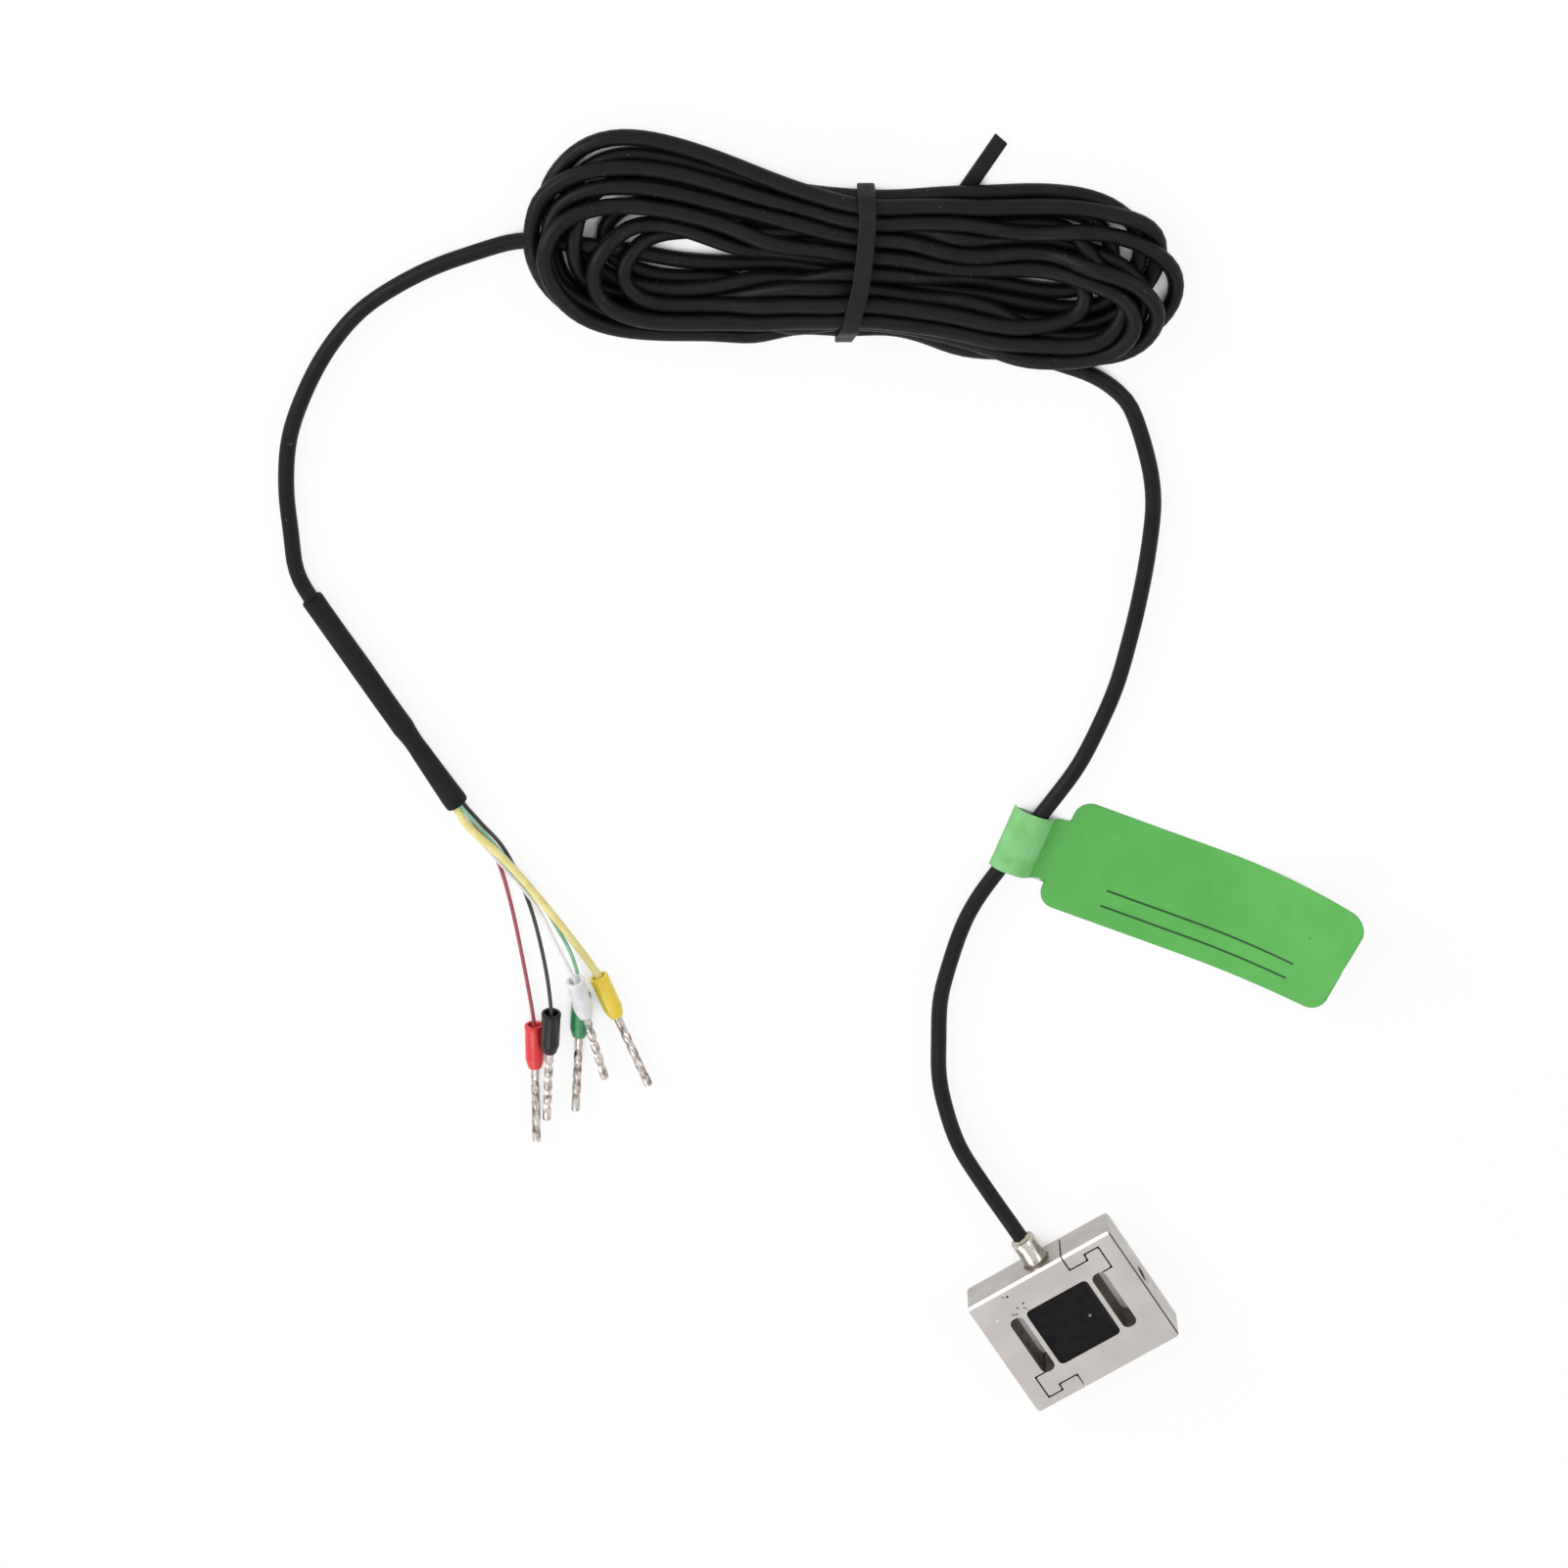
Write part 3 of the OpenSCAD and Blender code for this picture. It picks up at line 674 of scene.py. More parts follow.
def turned(profile: Sequence[tuple[float, float]], sides: int, closed: bool) -> bpy.types.Object:
    """Turns a profile round Z, as on a lathe, from one vertex that is extruded and spun.

    Args:
        profile: Points of radius and height in millimetres.
        sides: How many sides the round gets.
        closed: Whether the profile's last point joins its first, as for a tube.

    Returns:
        The turned object, at the origin.
    """
    deselect()
    places = [Vector((r * MM, 0, z * MM)) for r, z in profile]
    bpy.ops.mesh.primitive_plane_add(size=0.1 * MM, location=(0, 0, 0))
    piece = bpy.context.object
    bpy.ops.object.mode_set(mode="EDIT")
    bpy.ops.mesh.merge(type="CENTER")
    bpy.ops.transform.translate(value=places[0])
    stops = places[1:] + places[:1] if closed else places[1:]
    last = places[0]
    for stop in stops:
        bpy.ops.mesh.extrude_vertices_move(TRANSFORM_OT_translate={"value": stop - last})
        last = stop
    bpy.ops.mesh.select_all(action="SELECT")
    bpy.ops.mesh.remove_doubles(threshold=0.0005 * MM)
    bpy.ops.mesh.select_all(action="SELECT")
    bpy.ops.mesh.spin(steps=sides, angle=math.tau, center=(0, 0, 0), axis=(0, 0, 1))
    bpy.ops.mesh.select_all(action="SELECT")
    bpy.ops.mesh.remove_doubles(threshold=0.0005 * MM)
    bpy.ops.mesh.normals_make_consistent(inside=False)
    bpy.ops.object.mode_set(mode="OBJECT")
    return piece


def along_y(place: Point) -> Matrix:
    """Matrix that stands a piece turned round Z along +Y at a place in millimetres."""
    return Matrix.Translation(Vector(place) * MM) @ Matrix.Rotation(-math.pi / 2, 4, "X")


def smooth_route(points: Sequence[Point], step: float) -> np.ndarray:
    """Runs one smooth line through a route's points.

    Args:
        points: The route's points in millimetres.
        step: Distance between the points of the result.

    Returns:
        Evenly spaced points in millimetres.
    """
    given = np.asarray(points, float)
    padded = np.vstack([2 * given[0] - given[1], given, 2 * given[-1] - given[-2]])
    fine = []
    for i in range(1, len(padded) - 2):
        before, start, end, after = padded[i - 1 : i + 3]
        for t in np.linspace(0, 1, 12, endpoint=False):
            fine.append(0.5 * (
                2 * start + (end - before) * t + (2 * before - 5 * start + 4 * end - after) * t**2
                + (3 * start - before - 3 * end + after) * t**3
            ))
    fine.append(given[-1])
    return even_steps(np.array(fine), step)


def even_steps(points: np.ndarray, step: float) -> np.ndarray:
    """Spaces the points of a line evenly.

    Args:
        points: The line's points.
        step: The wanted distance between points.

    Returns:
        The same line with even steps.
    """
    far = np.r_[0, np.cumsum(np.linalg.norm(np.diff(points, axis=0), axis=1))]
    count = max(2, round(far[-1] / step))
    wanted = np.linspace(0, far[-1], count + 1)
    return np.stack([np.interp(wanted, far, points[:, k]) for k in range(3)], 1)


def relaxed_line(points: np.ndarray, rounds: int) -> np.ndarray:
    """Evens out a line's bends and keeps its two ends.

    Args:
        points: The line's points.
        rounds: How often each point moves towards its neighbours.

    Returns:
        The smoother line.
    """
    line = points.copy()
    for _ in range(rounds):
        line[1:-1] = (line[:-2] + 2 * line[1:-1] + line[2:]) / 4
    return line


def opened_bends(points: np.ndarray, least: float, rounds: int) -> np.ndarray:
    """Opens the bends of a line that are tighter than its cable can take.

    Args:
        points: The line's points.
        least: The smallest radius of a bend.
        rounds: How often each tight place is eased.

    Returns:
        The line with its tight places opened.
    """
    line = points.copy()
    for _ in range(rounds):
        before, after = line[1:-1] - line[:-2], line[2:] - line[1:-1]
        back, on = np.linalg.norm(before, axis=1), np.linalg.norm(after, axis=1)
        turning = np.arccos(np.clip((before * after).sum(1) / (back * on), -1, 1))
        tight = (turning * least > (back + on) / 2).astype(float)
        near = np.convolve(tight, np.ones(7), "same") > 0
        line[1:-1] += 0.25 * (line[:-2] + line[2:] - 2 * line[1:-1]) * near[:, None]
    return line


def line_length(points: np.ndarray) -> float:
    """Length of a line of points."""
    return float(np.linalg.norm(np.diff(points, axis=0), axis=1).sum())


def round_cord(points: np.ndarray, diameter: float, sides: int) -> bpy.types.Object:
    """Makes a round cord along points as a curve of one open spline.

    Args:
        points: The centreline in millimetres.
        diameter: The cord's diameter in millimetres.
        sides: How many sides its round gets.

    Returns:
        The curve object.
    """
    curve = bpy.data.curves.new("cord", "CURVE")
    curve.dimensions = "3D"
    curve.twist_mode = "MINIMUM"
    curve.bevel_depth = diameter / 2 * MM
    curve.bevel_resolution = max(1, sides // 2 - 2)
    curve.use_fill_caps = True
    spline = curve.splines.new("POLY")
    spline.points.add(len(points) - 1)
    flat = np.column_stack([points * MM, np.ones(len(points))])
    spline.points.foreach_set("co", flat.ravel())
    spline.use_smooth = True
    piece = bpy.data.objects.new("cord", curve)
    bpy.context.scene.collection.objects.link(piece)
    return piece


@dataclass
class SensorBody:
    """The milled S-shaped body with its potted window, its gauges and its load threads."""

    length: float = 21.2
    thickness: float = 5.4
    window_length: float = 9.04
    window_width: float = 8.94
    window_round: float = 0.7
    potting_dip: float = 0.2
    meniscus: float = 0.12
    # The compound climbs at its rim in these steps: width, and share of the climb.
    climb: tuple[tuple[float, float], ...] = ((0.12, 0.55), (0.25, 0.3), (0.5, 0.15), (1.5, 0.0))
    thread_bore: float = 2.5
    thread_pitch: float = 0.5
    thread_depth: float = 0.14
    thread_length: float = 3.0
    thread_start: float = 0.3

    def build(self) -> None:
        """Dresses the solids that stay and models the potting and the threads."""
        finishes = {"sensor_body": STEEL, "terminal_board": LAMINATE, "trim_resistor": CERAMIC,
                    "cable_cores": CORE_SKIN, "bridge_wires": ENAMEL}
        for name, finish in finishes.items():
            dress_node(name, finish.material())
        film = POLYIMIDE.material()
        for number in range(1, 5):
            dress_node(f"strain_gauge_{number}", film)
        self.potting()
        steel = STEEL.material()
        model = self.thread()
        for turn, name in ((0.0, "a"), (math.pi, "b")):
            piece = own_copy(model)
            place_mesh(piece, Matrix.Rotation(turn, 4, "Z"))
            put_in_scene(piece, f"load_thread_{name}", steel)
        bpy.data.objects.remove(model)

    def potting(self) -> bpy.types.Object:
        """Models the compound: a block with rounded corners and a face that climbs at its rim.

        Returns:
            The piece.
        """
        deselect()
        mid = self.thickness / 2 * MM
        bpy.ops.mesh.primitive_cube_add(size=1, location=(0, 0, mid))
        piece = bpy.context.object
        tall = (self.thickness - 2 * self.potting_dip) * MM
        piece.scale = (self.window_length * MM, self.window_width * MM, tall)
        bpy.ops.object.transform_apply(location=True, rotation=False, scale=True)
        bpy.ops.object.mode_set(mode="EDIT")
        bpy.ops.mesh.select_mode(type="EDGE")
        bpy.ops.mesh.select_all(action="DESELECT")
        bpy.ops.object.mode_set(mode="OBJECT")
        for edge in piece.data.edges:
            low, high = (piece.data.vertices[i].co for i in edge.vertices)
            edge.select = abs(low.z - high.z) > tall / 2
        bpy.ops.object.mode_set(mode="EDIT")
        bpy.ops.mesh.bevel(offset=self.window_round * MM, segments=8)
        bpy.ops.mesh.select_mode(type="FACE")
        for face_up in (True, False):
            bpy.ops.mesh.select_all(action="DESELECT")
            bpy.ops.object.mode_set(mode="OBJECT")
            for face in piece.data.polygons:
                face.select = face.normal.z > 0.9 if face_up else face.normal.z < -0.9
            bpy.ops.object.mode_set(mode="EDIT")
            down = -1 if face_up else 1
            reach = 0.0
            for inset, sink in self.climb:
                long, wide = self.window_length - 2 * reach, self.window_width - 2 * reach
                share = ((long - 2 * inset) / long, (wide - 2 * inset) / wide, 1)
                bpy.ops.mesh.extrude_region_move()
                bpy.ops.transform.resize(value=share, center_override=(0, 0, 0))
                bpy.ops.transform.translate(value=(0, 0, down * sink * self.meniscus * MM))
                reach += inset
        bpy.ops.object.mode_set(mode="OBJECT")
        smooth_by_angle(piece, 35)
        return put_in_scene(piece, "potting_fill", POTTING.material(),
                            ["window_potting"])

    def thread(self) -> bpy.types.Object:
        """Models the crests of the +X load thread as a ridge that screws into its bore.

        Returns:
            The model that both ends are copied from.
        """
        deselect()
        wall = self.thread_bore / 2 + 0.01
        foot = self.thread_pitch * 0.4
        start = self.length / 2 - self.thread_start - self.thread_length
        bpy.ops.mesh.primitive_circle_add(vertices=3, radius=1 * MM, location=(0, 0, 0))
        piece = bpy.context.object
        corners = ((wall, 0), (wall - self.thread_depth, foot / 2), (wall, foot))
        for vertex, (radius, height) in zip(piece.data.vertices, corners):
            vertex.co = (radius * MM, 0, height * MM)
        turns = int(self.thread_length / self.thread_pitch)
        apply_modifier(piece, "SCREW", angle=math.tau, screw_offset=self.thread_pitch * MM,
                       iterations=turns, steps=32, render_steps=32,
                       use_merge_vertices=False, use_normal_calculate=True)
        bpy.ops.object.mode_set(mode="EDIT")
        bpy.ops.mesh.select_mode(type="EDGE")
        bpy.ops.mesh.select_all(action="DESELECT")
        bpy.ops.mesh.select_non_manifold()
        bpy.ops.mesh.edge_face_add()
        bpy.ops.mesh.select_all(action="SELECT")
        bpy.ops.mesh.normals_make_consistent(inside=False)
        bpy.ops.object.mode_set(mode="OBJECT")
        place = Matrix.Translation((start * MM, 0, self.thickness / 2 * MM))
        place_mesh(piece, place @ Matrix.Rotation(math.pi / 2, 4, "Y"))
        smooth_by_angle(piece, 50)
        return piece


@dataclass
class CableGland:
    """The crimped sleeve where the cable leaves the body, with its adhesive inside and out."""

    inner_y: float = 6.7
    foot_y: float = 8.9
    mouth_y: float = 12.6
    mid_z: float = 2.7
    outer: float = 3.2
    bore: float = 2.3
    rim: float = 0.12
    bead_spread: float = 0.36
    bead_height: float = 0.4
    glue_length: float = 0.4
    cable: float = 2.0
    sides: int = 48
    pieces: list[bpy.types.Object] = field(default_factory=list)

    def build(self) -> None:
        """Models the sleeve, the bead at its foot and the glue at its mouth."""
        self.pieces = [self.sleeve(), self.bead(), self.glue()]

    def sleeve(self) -> bpy.types.Object:
        """The sleeve: a drawn tube with a rolled mouth and a shallow crimp near its middle.

        Returns:
            The piece.
        """
        r, b, m = self.outer / 2, self.bore / 2, self.rim
        long = self.mouth_y - self.inner_y
        profile = [
            (b, 0), (r, 0), (r, long - 3.2), (r - 0.03, long - 3.0), (r - 0.05, long - 2.4),
            (r - 0.04, long - 1.2), (r, long - 0.8), (r, long - m), (r - 0.3 * m, long - 0.3 * m),
            (r - m, long), (b + m, long), (b + 0.3 * m, long - 0.3 * m), (b, long - m),
        ]
        piece = turned(profile, self.sides, True)
        place_mesh(piece, along_y((0, self.inner_y, self.mid_z)))
        smooth_by_angle(piece)
        return put_in_scene(piece, "gland_sleeve", NICKEL.material(), ["cable_gland"])

    def bead(self) -> bpy.types.Object:
        """The dark bead that was run round the sleeve's foot by hand.

        Returns:
            The piece.
        """
        inner = self.outer / 2 + 0.03
        s, h = self.bead_spread, self.bead_height
        profile = [(inner, 0), (inner + s, 0), (inner + 0.75 * s, 0.22 * h),
                   (inner + 0.4 * s, 0.45 * h), (inner + 0.12 * s, 0.8 * h), (inner, h)]
        piece = turned(profile, self.sides, True)
        self.make_uneven(piece, inner, 0.7)
        place_mesh(piece, along_y((0, self.foot_y, self.mid_z)))
        smooth_by_angle(piece, 60)
        return put_in_scene(piece, "gland_foot_bead", SEALANT.material(),
                            ["gland_bead"])

    def glue(self) -> bpy.types.Object:
        """The clear rim of glue that stands out between the cable and the sleeve.

        Returns:
            The piece.
        """
        inner = self.cable / 2 + 0.03
        outer = self.outer / 2 - 0.15
        g = self.glue_length
        profile = [(inner, 0), (outer, 0), (outer - 0.03, 0.3 * g), (outer - 0.15, 0.65 * g),
                   (inner + 0.05, 0.9 * g), (inner, g)]
        piece = turned(profile, self.sides, True)
        self.make_uneven(piece, inner, 0.5)
        place_mesh(piece, along_y((0, self.mouth_y, self.mid_z)))
        smooth_by_angle(piece, 60)
        return put_in_scene(piece, "gland_mouth_glue", HOT_MELT.material(), ["exit_glue"])

    def make_uneven(self, piece: bpy.types.Object, inner: float, share: float) -> None:
        """Shrinks parts of a ring towards its inner edge, as a hand-run bead is uneven.

        Args:
            piece: The ring, still upright at the origin.
            inner: Its inner radius in millimetres.
            share: How much of its width and height comes off where it is thinnest.
        """
        for vertex in piece.data.vertices:
            x, y, z = vertex.co
            angle = math.atan2(y, x)
            off = share * (0.5 + 0.3 * math.sin(3 * angle + 0.7) + 0.2 * math.sin(7 * angle + 2.1))
            radius = math.hypot(x, y)
            thin = inner * MM + (radius - inner * MM) * (1 - off)
            vertex.co = (x * thin / radius, y * thin / radius, z * (1 - off))


@dataclass(frozen=True)
class Turn:
    """One turn of the hank, by the places that the cable passes, in the hank's own frame.

    A pair is a height across the hank and one above the ground. The two ends of the hank are full
    points. The turn runs along the lower side to the left, round the left end, back along the
    upper side and round the right end.
    """

    waist_low: tuple[float, float]
    left_low: tuple[float, float]
    left: Point
    left_top: tuple[float, float]
    waist_top: tuple[float, float]
    right_top: tuple[float, float]
    right: Point
    right_low: tuple[float, float]


HANK_TURNS = (
    Turn((-10, 1.85), (-10.5, 3.2), (-36.6, -1, 4.8), (5.5, 4.6),
         (-1.4, 3.8), (-3.1, 3.8), (36.8, -9.5, 5), (-14.3, 3.6)),
    Turn((-9.3, 3.6), (-10.9, 1.1), (-38.5, 1.7, 1.8), (10, 3.4),
         (3.2, 3.8), (1.5, 3.1), (39.5, -4.1, 1.8), (-13.3, 1.1)),
    Turn((-8, 1.85), (-9.4, 2.6), (-37.4, 0.3, 3.2), (7.7, 4),
         (1.1, 3.8), (-1.2, 3.1), (38.6, -7.3, 3.6), (-14.1, 2.2)),
    Turn((-6, 1.85), (-8.9, 1.05), (-36.8, 1.2, 1.05), (13.4, 2.2),
         (5, 3.6), (4.6, 3.1), (37.5, 0.6, 2), (-11.3, 1.05)),
    Turn((-7.3, 3.6), (-4.9, 1.05), (-33.2, -2.4, 1.05), (5.2, 1.05),
         (-0.7, 1.85), (2.3, 1.05), (35.2, -9.6, 2.6), (-12.7, 4.4)),
    Turn((-8.5, 5.2), (-9.2, 4.5), (-33.2, -1.5, 4.2), (2.8, 3.2),
         (-2.4, 1.85), (-2.9, 1.2), (34.2, -7.4, 2), (-11.8, 3)),
    Turn((-6.4, 5.2), (-7.2, 3.8), (-32.4, -2.4, 3.2), (1.4, 2.6),
         (1.1, 1.85), (0.2, 1.05), (39.2, -6.4, 2), (-12.2, 2.8)),
    Turn((-5.1, 3.6), (-6.9, 1.05), (-35.2, -1.3, 2.8), (7.7, 1.05),
         (3.1, 1.85), (4.2, 1.05), (34.4, -2.8, 1.1), (-7.3, 1.05)),
    Turn((-4, 1.85), (-6.6, 2.6), (-35.2, 0.2, 1.05), (11, 1.3),
         (5, 1.85), (6.1, 1.05), (36.4, -1.8, 1.1), (-9.3, 1.05)),
)


@dataclass
class Hank:
    """The wound hank: its planned turns, and how they settle on the ground and on each other."""

    place: Point = (52, 138, 0)
    turn: float = -32.2
    cable: float = 2.0
    spacing: float = 2.03
    step: float = 1.25
    top: float = 5.45
    waist: float = 2.0
    crests: tuple[float, float, float, float] = (-27.0, -22.0, 24.0, 28.0)
    rounds: int = 300
    last_rounds: int = 60
    least_bend: float = 3.2
    crossing: float = 0.93
    crossing_lift: float = 0.6
    pull: float = 0.12
    hold: float = 0.006
    push: float = 0.25
    shared_push: float = 1.6
    level_pull: float = 0.05
    weight: float = 0.008
    smoothing: tuple[float, float] = (0.5, -0.52)
    near: float = 1.2
    refresh: int = 8
    partings: int = 3
    lead: tuple[Point, ...] = (
        (34.2, -20.6, 1.1), (32.2, -18.1, 1.1), (29.4, -16.0, 1.1), (25.5, -14.9, 1.1),
        (20, -13.8, 1.1),
    )
    lead_end: Point = (12, -12.4, 1.1)
    tail: tuple[tuple[float, float], ...] = (
        (2, -3.6), (-8, -3.6), (-15, -3.3), (-20, -2.6), (-24, -1.8), (-28, -0.6), (-32, 0.4),
        (-36, 0.5), (-39.9, -0.1),
    )
    tail_z: float = 1.1
    tail_start: tuple[float, float] = (-3.6, 1.05)
    # How level a run leaves and arrives: lower side, upper left, upper right, and back down.
    flatness: tuple[float, float, float, float] = (0.5, 0.8, 0.7, 0.3)
    tie_bow: tuple[tuple[float, float], ...] = (
        (-0.5, -12.6), (0.25, -9.97), (0.9, -7.2), (1.6, -4.5), (2, -1.5), (2.3, 1.4), (2.45, 4.1),
        (2.3, 6.5), (1.9, 8.2),
    )
    tie_tail: tuple[tuple[float, float], ...] = (
        (1.7, -4.6), (5, -4), (8.2, -2), (11.2, 1.5), (14.3, 6.2), (18.4, 12.5),
    )
    tie_width: float = 2.1
    tie_lift: float = 0.8

    def ease(self, share: float) -> float:
        """Share of a smooth step."""
        return share * share * (3 - 2 * share)

    def bend(self, start: Point, end: Point, flatness: float, count: int = 9) -> list[Point]:
        """Points from one place to the next, level at both where the flatness is one.

        Args:
            start: The first place.
            end: The next place, which isn't among the points.
            flatness: Nought for a straight run and one for a smooth step.
            count: How many points.

        Returns:
            The points.
        """
        points = []
        for k in range(count):
            share = k / count
            rise = (1 - flatness) * share + flatness * self.ease(share)
            points.append((
                start[0] + (end[0] - start[0]) * share,
                start[1] + (end[1] - start[1]) * rise,
                start[2] + (end[2] - start[2]) * self.ease(share),
            ))
        return points

    def quarter(self, crest: Point, tip: Point, outwards: bool, count: int = 9) -> list[Point]:
        """Quarter of a rounded end, between a crest and the end's tip.

        Args:
            crest: The place where the end starts to turn.
            tip: The end's outermost place.
            outwards: Whether the points run from the crest to the tip.
            count: How many points.

        Returns:
            The points.
        """
        points = []
        for k in range(count):
            angle = math.pi / 2 * (k / count if outwards else 1 - k / count)
            out = math.sin(angle) ** 0.94
            back = max(0.0, math.cos(angle)) ** 0.94
            points.append((
                crest[0] + (tip[0] - crest[0]) * out,
                tip[1] + (crest[1] - tip[1]) * back,
                crest[2] + (tip[2] - crest[2]) * angle / (math.pi / 2),
            ))
        return points

    def plan(self) -> np.ndarray:
        """The turns as they are wound, before they settle.

        Returns:
            The line's points in the hank's own frame.
        """
        left_top, left_low, right_top, right_low = self.crests
        lower, upper_left, upper_right, back = self.flatness
        points = list(self.lead)
        before = self.lead_end
        for index, turn in enumerate(HANK_TURNS):
            waist_low = (self.waist, *turn.waist_low)
            if index == 0:
                points += self.bend(before, waist_low, lower, 4)
            points += self.bend(waist_low, (left_low, *turn.left_low), lower)
            points += self.quarter((left_low, *turn.left_low), turn.left, True)
            points += self.quarter((left_top, *turn.left_top), turn.left, False)
            waist_top = (self.waist, *turn.waist_top)
            points += self.bend((left_top, *turn.left_top), waist_top, upper_left)
            points += self.bend(waist_top, (right_top, *turn.right_top), upper_right)
            points += self.quarter((right_top, *turn.right_top), turn.right, True)
            points += self.quarter((right_low, *turn.right_low), turn.right, False)
            last = index + 1 == len(HANK_TURNS)
            after = self.tail_start if last else HANK_TURNS[index + 1].waist_low
            points += self.bend((right_low, *turn.right_low), (self.waist, *after), back)
        points += [(x, y, self.tail_z) for x, y in self.tail]
        line = relaxed_line(even_steps(np.array(points, float), self.step), 8)
        return even_steps(line, self.step)

    def touching(self, line: np.ndarray, reach: float, skip: int) -> tuple[np.ndarray, np.ndarray]:
        """Pairs of points that are near each other but not neighbours.

        Args:
            line: The line's points.
            reach: The distance that counts as near.
            skip: How many neighbours along the line are left out.

        Returns:
            The two numbers of each pair.
        """
        firsts, seconds = [], []
        for start in range(0, len(line), 400):
            far = ((line[start : start + 400, None, :] - line[None, :, :]) ** 2).sum(2)
            i, j = np.nonzero(far < reach * reach)
            i = i + start
            keep = j > i + skip
            firsts.append(i[keep])
            seconds.append(j[keep])
        return np.concatenate(firsts), np.concatenate(seconds)

    def part(self, line: np.ndarray, i: np.ndarray, j: np.ndarray, free: np.ndarray,
             rank: np.ndarray) -> None:
        """Pushes touching strands apart, and one over the other where they cross.

        Args:
            line: The line's points, which are moved.
            i: First number of each pair.
            j: Second number of each pair.
            free: Nought for a point that is held, else one.
            rank: Which of two crossing strands goes over the other.
        """
        apart = line[j] - line[i]
        short = self.spacing - np.sqrt((apart**2).sum(1))
        along = np.gradient(line, axis=0)
        along /= np.linalg.norm(along, axis=1)[:, None]
        crossing = np.abs((along[i] * along[j]).sum(1)) < self.crossing
        lift = np.where(rank[j] > rank[i], self.crossing_lift, -self.crossing_lift)
        apart[:, 2] += np.where(crossing, lift, 0)
        distance = np.sqrt((apart**2).sum(1)) + 1e-9
        hit = short > 0
        push = apart[hit] / distance[hit][:, None] * (short[hit] * self.push)[:, None]
        move = np.zeros_like(line)
        count = np.zeros(len(line))
        np.add.at(move, i[hit], -push)
        np.add.at(move, j[hit], push)
        np.add.at(count, i[hit], 1)
        np.add.at(count, j[hit], 1)
        line += move * (free * self.shared_push / np.maximum(1, np.sqrt(count)))[:, None]

    def settle(self, planned: np.ndarray) -> np.ndarray:
        """Lets the turns settle: stiff, a little heavy, and never through each other.

        Args:
            planned: The turns as planned.

        Returns:
            The settled line, in the hank's own frame.
        """
        line = planned.copy()
        free = np.ones(len(line))
        free[[0, 1, 2, 3, -4, -3, -2, -1]] = 0
        rank = planned[:, 2] + 0.001 * np.arange(len(planned))
        for number in range(self.rounds):
            if number % self.refresh == 0:
                i, j, floor = self.around(line)
            late = number / self.rounds
            hold = self.pull * (1 - late) ** 2 + self.hold
            line[:, :2] += hold * (planned[:, :2] - line[:, :2]) * free[:, None]
            rise = self.level_pull * (1 - late) * (planned[:, 2] - line[:, 2])
            line[:, 2] += rise * free - self.weight * free
            for share in self.smoothing:
                bend = np.zeros_like(line)
                bend[1:-1] = (line[:-2] + line[2:]) / 2 - line[1:-1]
                line += share * bend * free[:, None]
            self.press(line, i, j, free, rank, floor)
        line = relaxed_line(line, 4)
        for number in range(self.last_rounds):
            if number % self.refresh == 0:
                i, j, floor = self.around(line)
            line = opened_bends(line, self.least_bend, 1)
            self.press(line, i, j, free, rank, floor)
        return line

    def around(self, line: np.ndarray) -> tuple[np.ndarray, np.ndarray, np.ndarray]:
        """The pairs of points that are near each other, and each point's lowest height.

        Args:
            line: The line's points.

        Returns:
            The two numbers of each pair, and one height for each point.
        """
        skip = math.ceil(2.2 * self.spacing / self.step)
        return (*self.touching(line, self.spacing + self.near, skip),
                self.floor(line, self.tie_ridge()))

    def press(self, line: np.ndarray, i: np.ndarray, j: np.ndarray, free: np.ndarray, rank: np.ndarray,
              floor: np.ndarray) -> None:
        """Parts the strands and keeps them above the ground and the tie.

        Args:
            line: The line's points, which are moved.
            i: First number of each near pair.
            j: Second number of each near pair.
            free: Nought for a point that is held, else one.
            rank: Which of two crossing strands goes over the other.
            floor: Each point's lowest height.
        """
        for _ in range(self.partings):
            self.part(line, i, j, free, rank)
            line[:, 2] = np.clip(line[:, 2], floor, self.top)

    def tie_ridge(self) -> np.ndarray:
        """Points along the middle of the tie and of its tail, where they lie under the turns.

        Returns:
            The points, seen from above.
        """
        tie = (self.tie_bow, self.tie_tail)
        paths = [np.array([(x, y, 0) for x, y in path], float) for path in tie]
        return np.vstack([even_steps(path, 0.5) for path in paths])[:, :2]

    def floor(self, line: np.ndarray, ridge: np.ndarray) -> np.ndarray:
        """Lowest height of the cable's middle at each point, raised where the tie is under it.

        Args:
            line: The line's points.
            ridge: The middle of the tie, seen from above.

        Returns:
            One height for each point.
        """
        away = np.sqrt(((line[:, None, :2] - ridge[None]) ** 2).sum(2)).min(1)
        share = np.clip((away - self.tie_width / 2 - 0.3) / 4, 0, 1)
        return self.cable / 2 + 0.03 + self.tie_lift * (1 - self.ease(share))

    def line(self) -> np.ndarray:
        """The settled turns in the model's frame, in millimetres."""
        local = relaxed_line(self.settle(self.plan()), 1)
        return self.to_model(local)

    def axes(self) -> tuple[np.ndarray, np.ndarray]:
        """Directions along and across the hank on the ground."""
        sine, cosine = math.sin(math.radians(self.turn)), math.cos(math.radians(self.turn))
        return np.array([cosine, sine]), np.array([-sine, cosine])

    def to_model(self, local: np.ndarray) -> np.ndarray:
        """Turns points of the hank's own frame into the model's frame.

        Args:
            local: The points in the hank's own frame.

        Returns:
            The points in the model's frame.
        """
        along, across = self.axes()
        flat = np.array(self.place[:2]) + local[:, :1] * along + local[:, 1:2] * across
        return np.column_stack([flat, local[:, 2]])

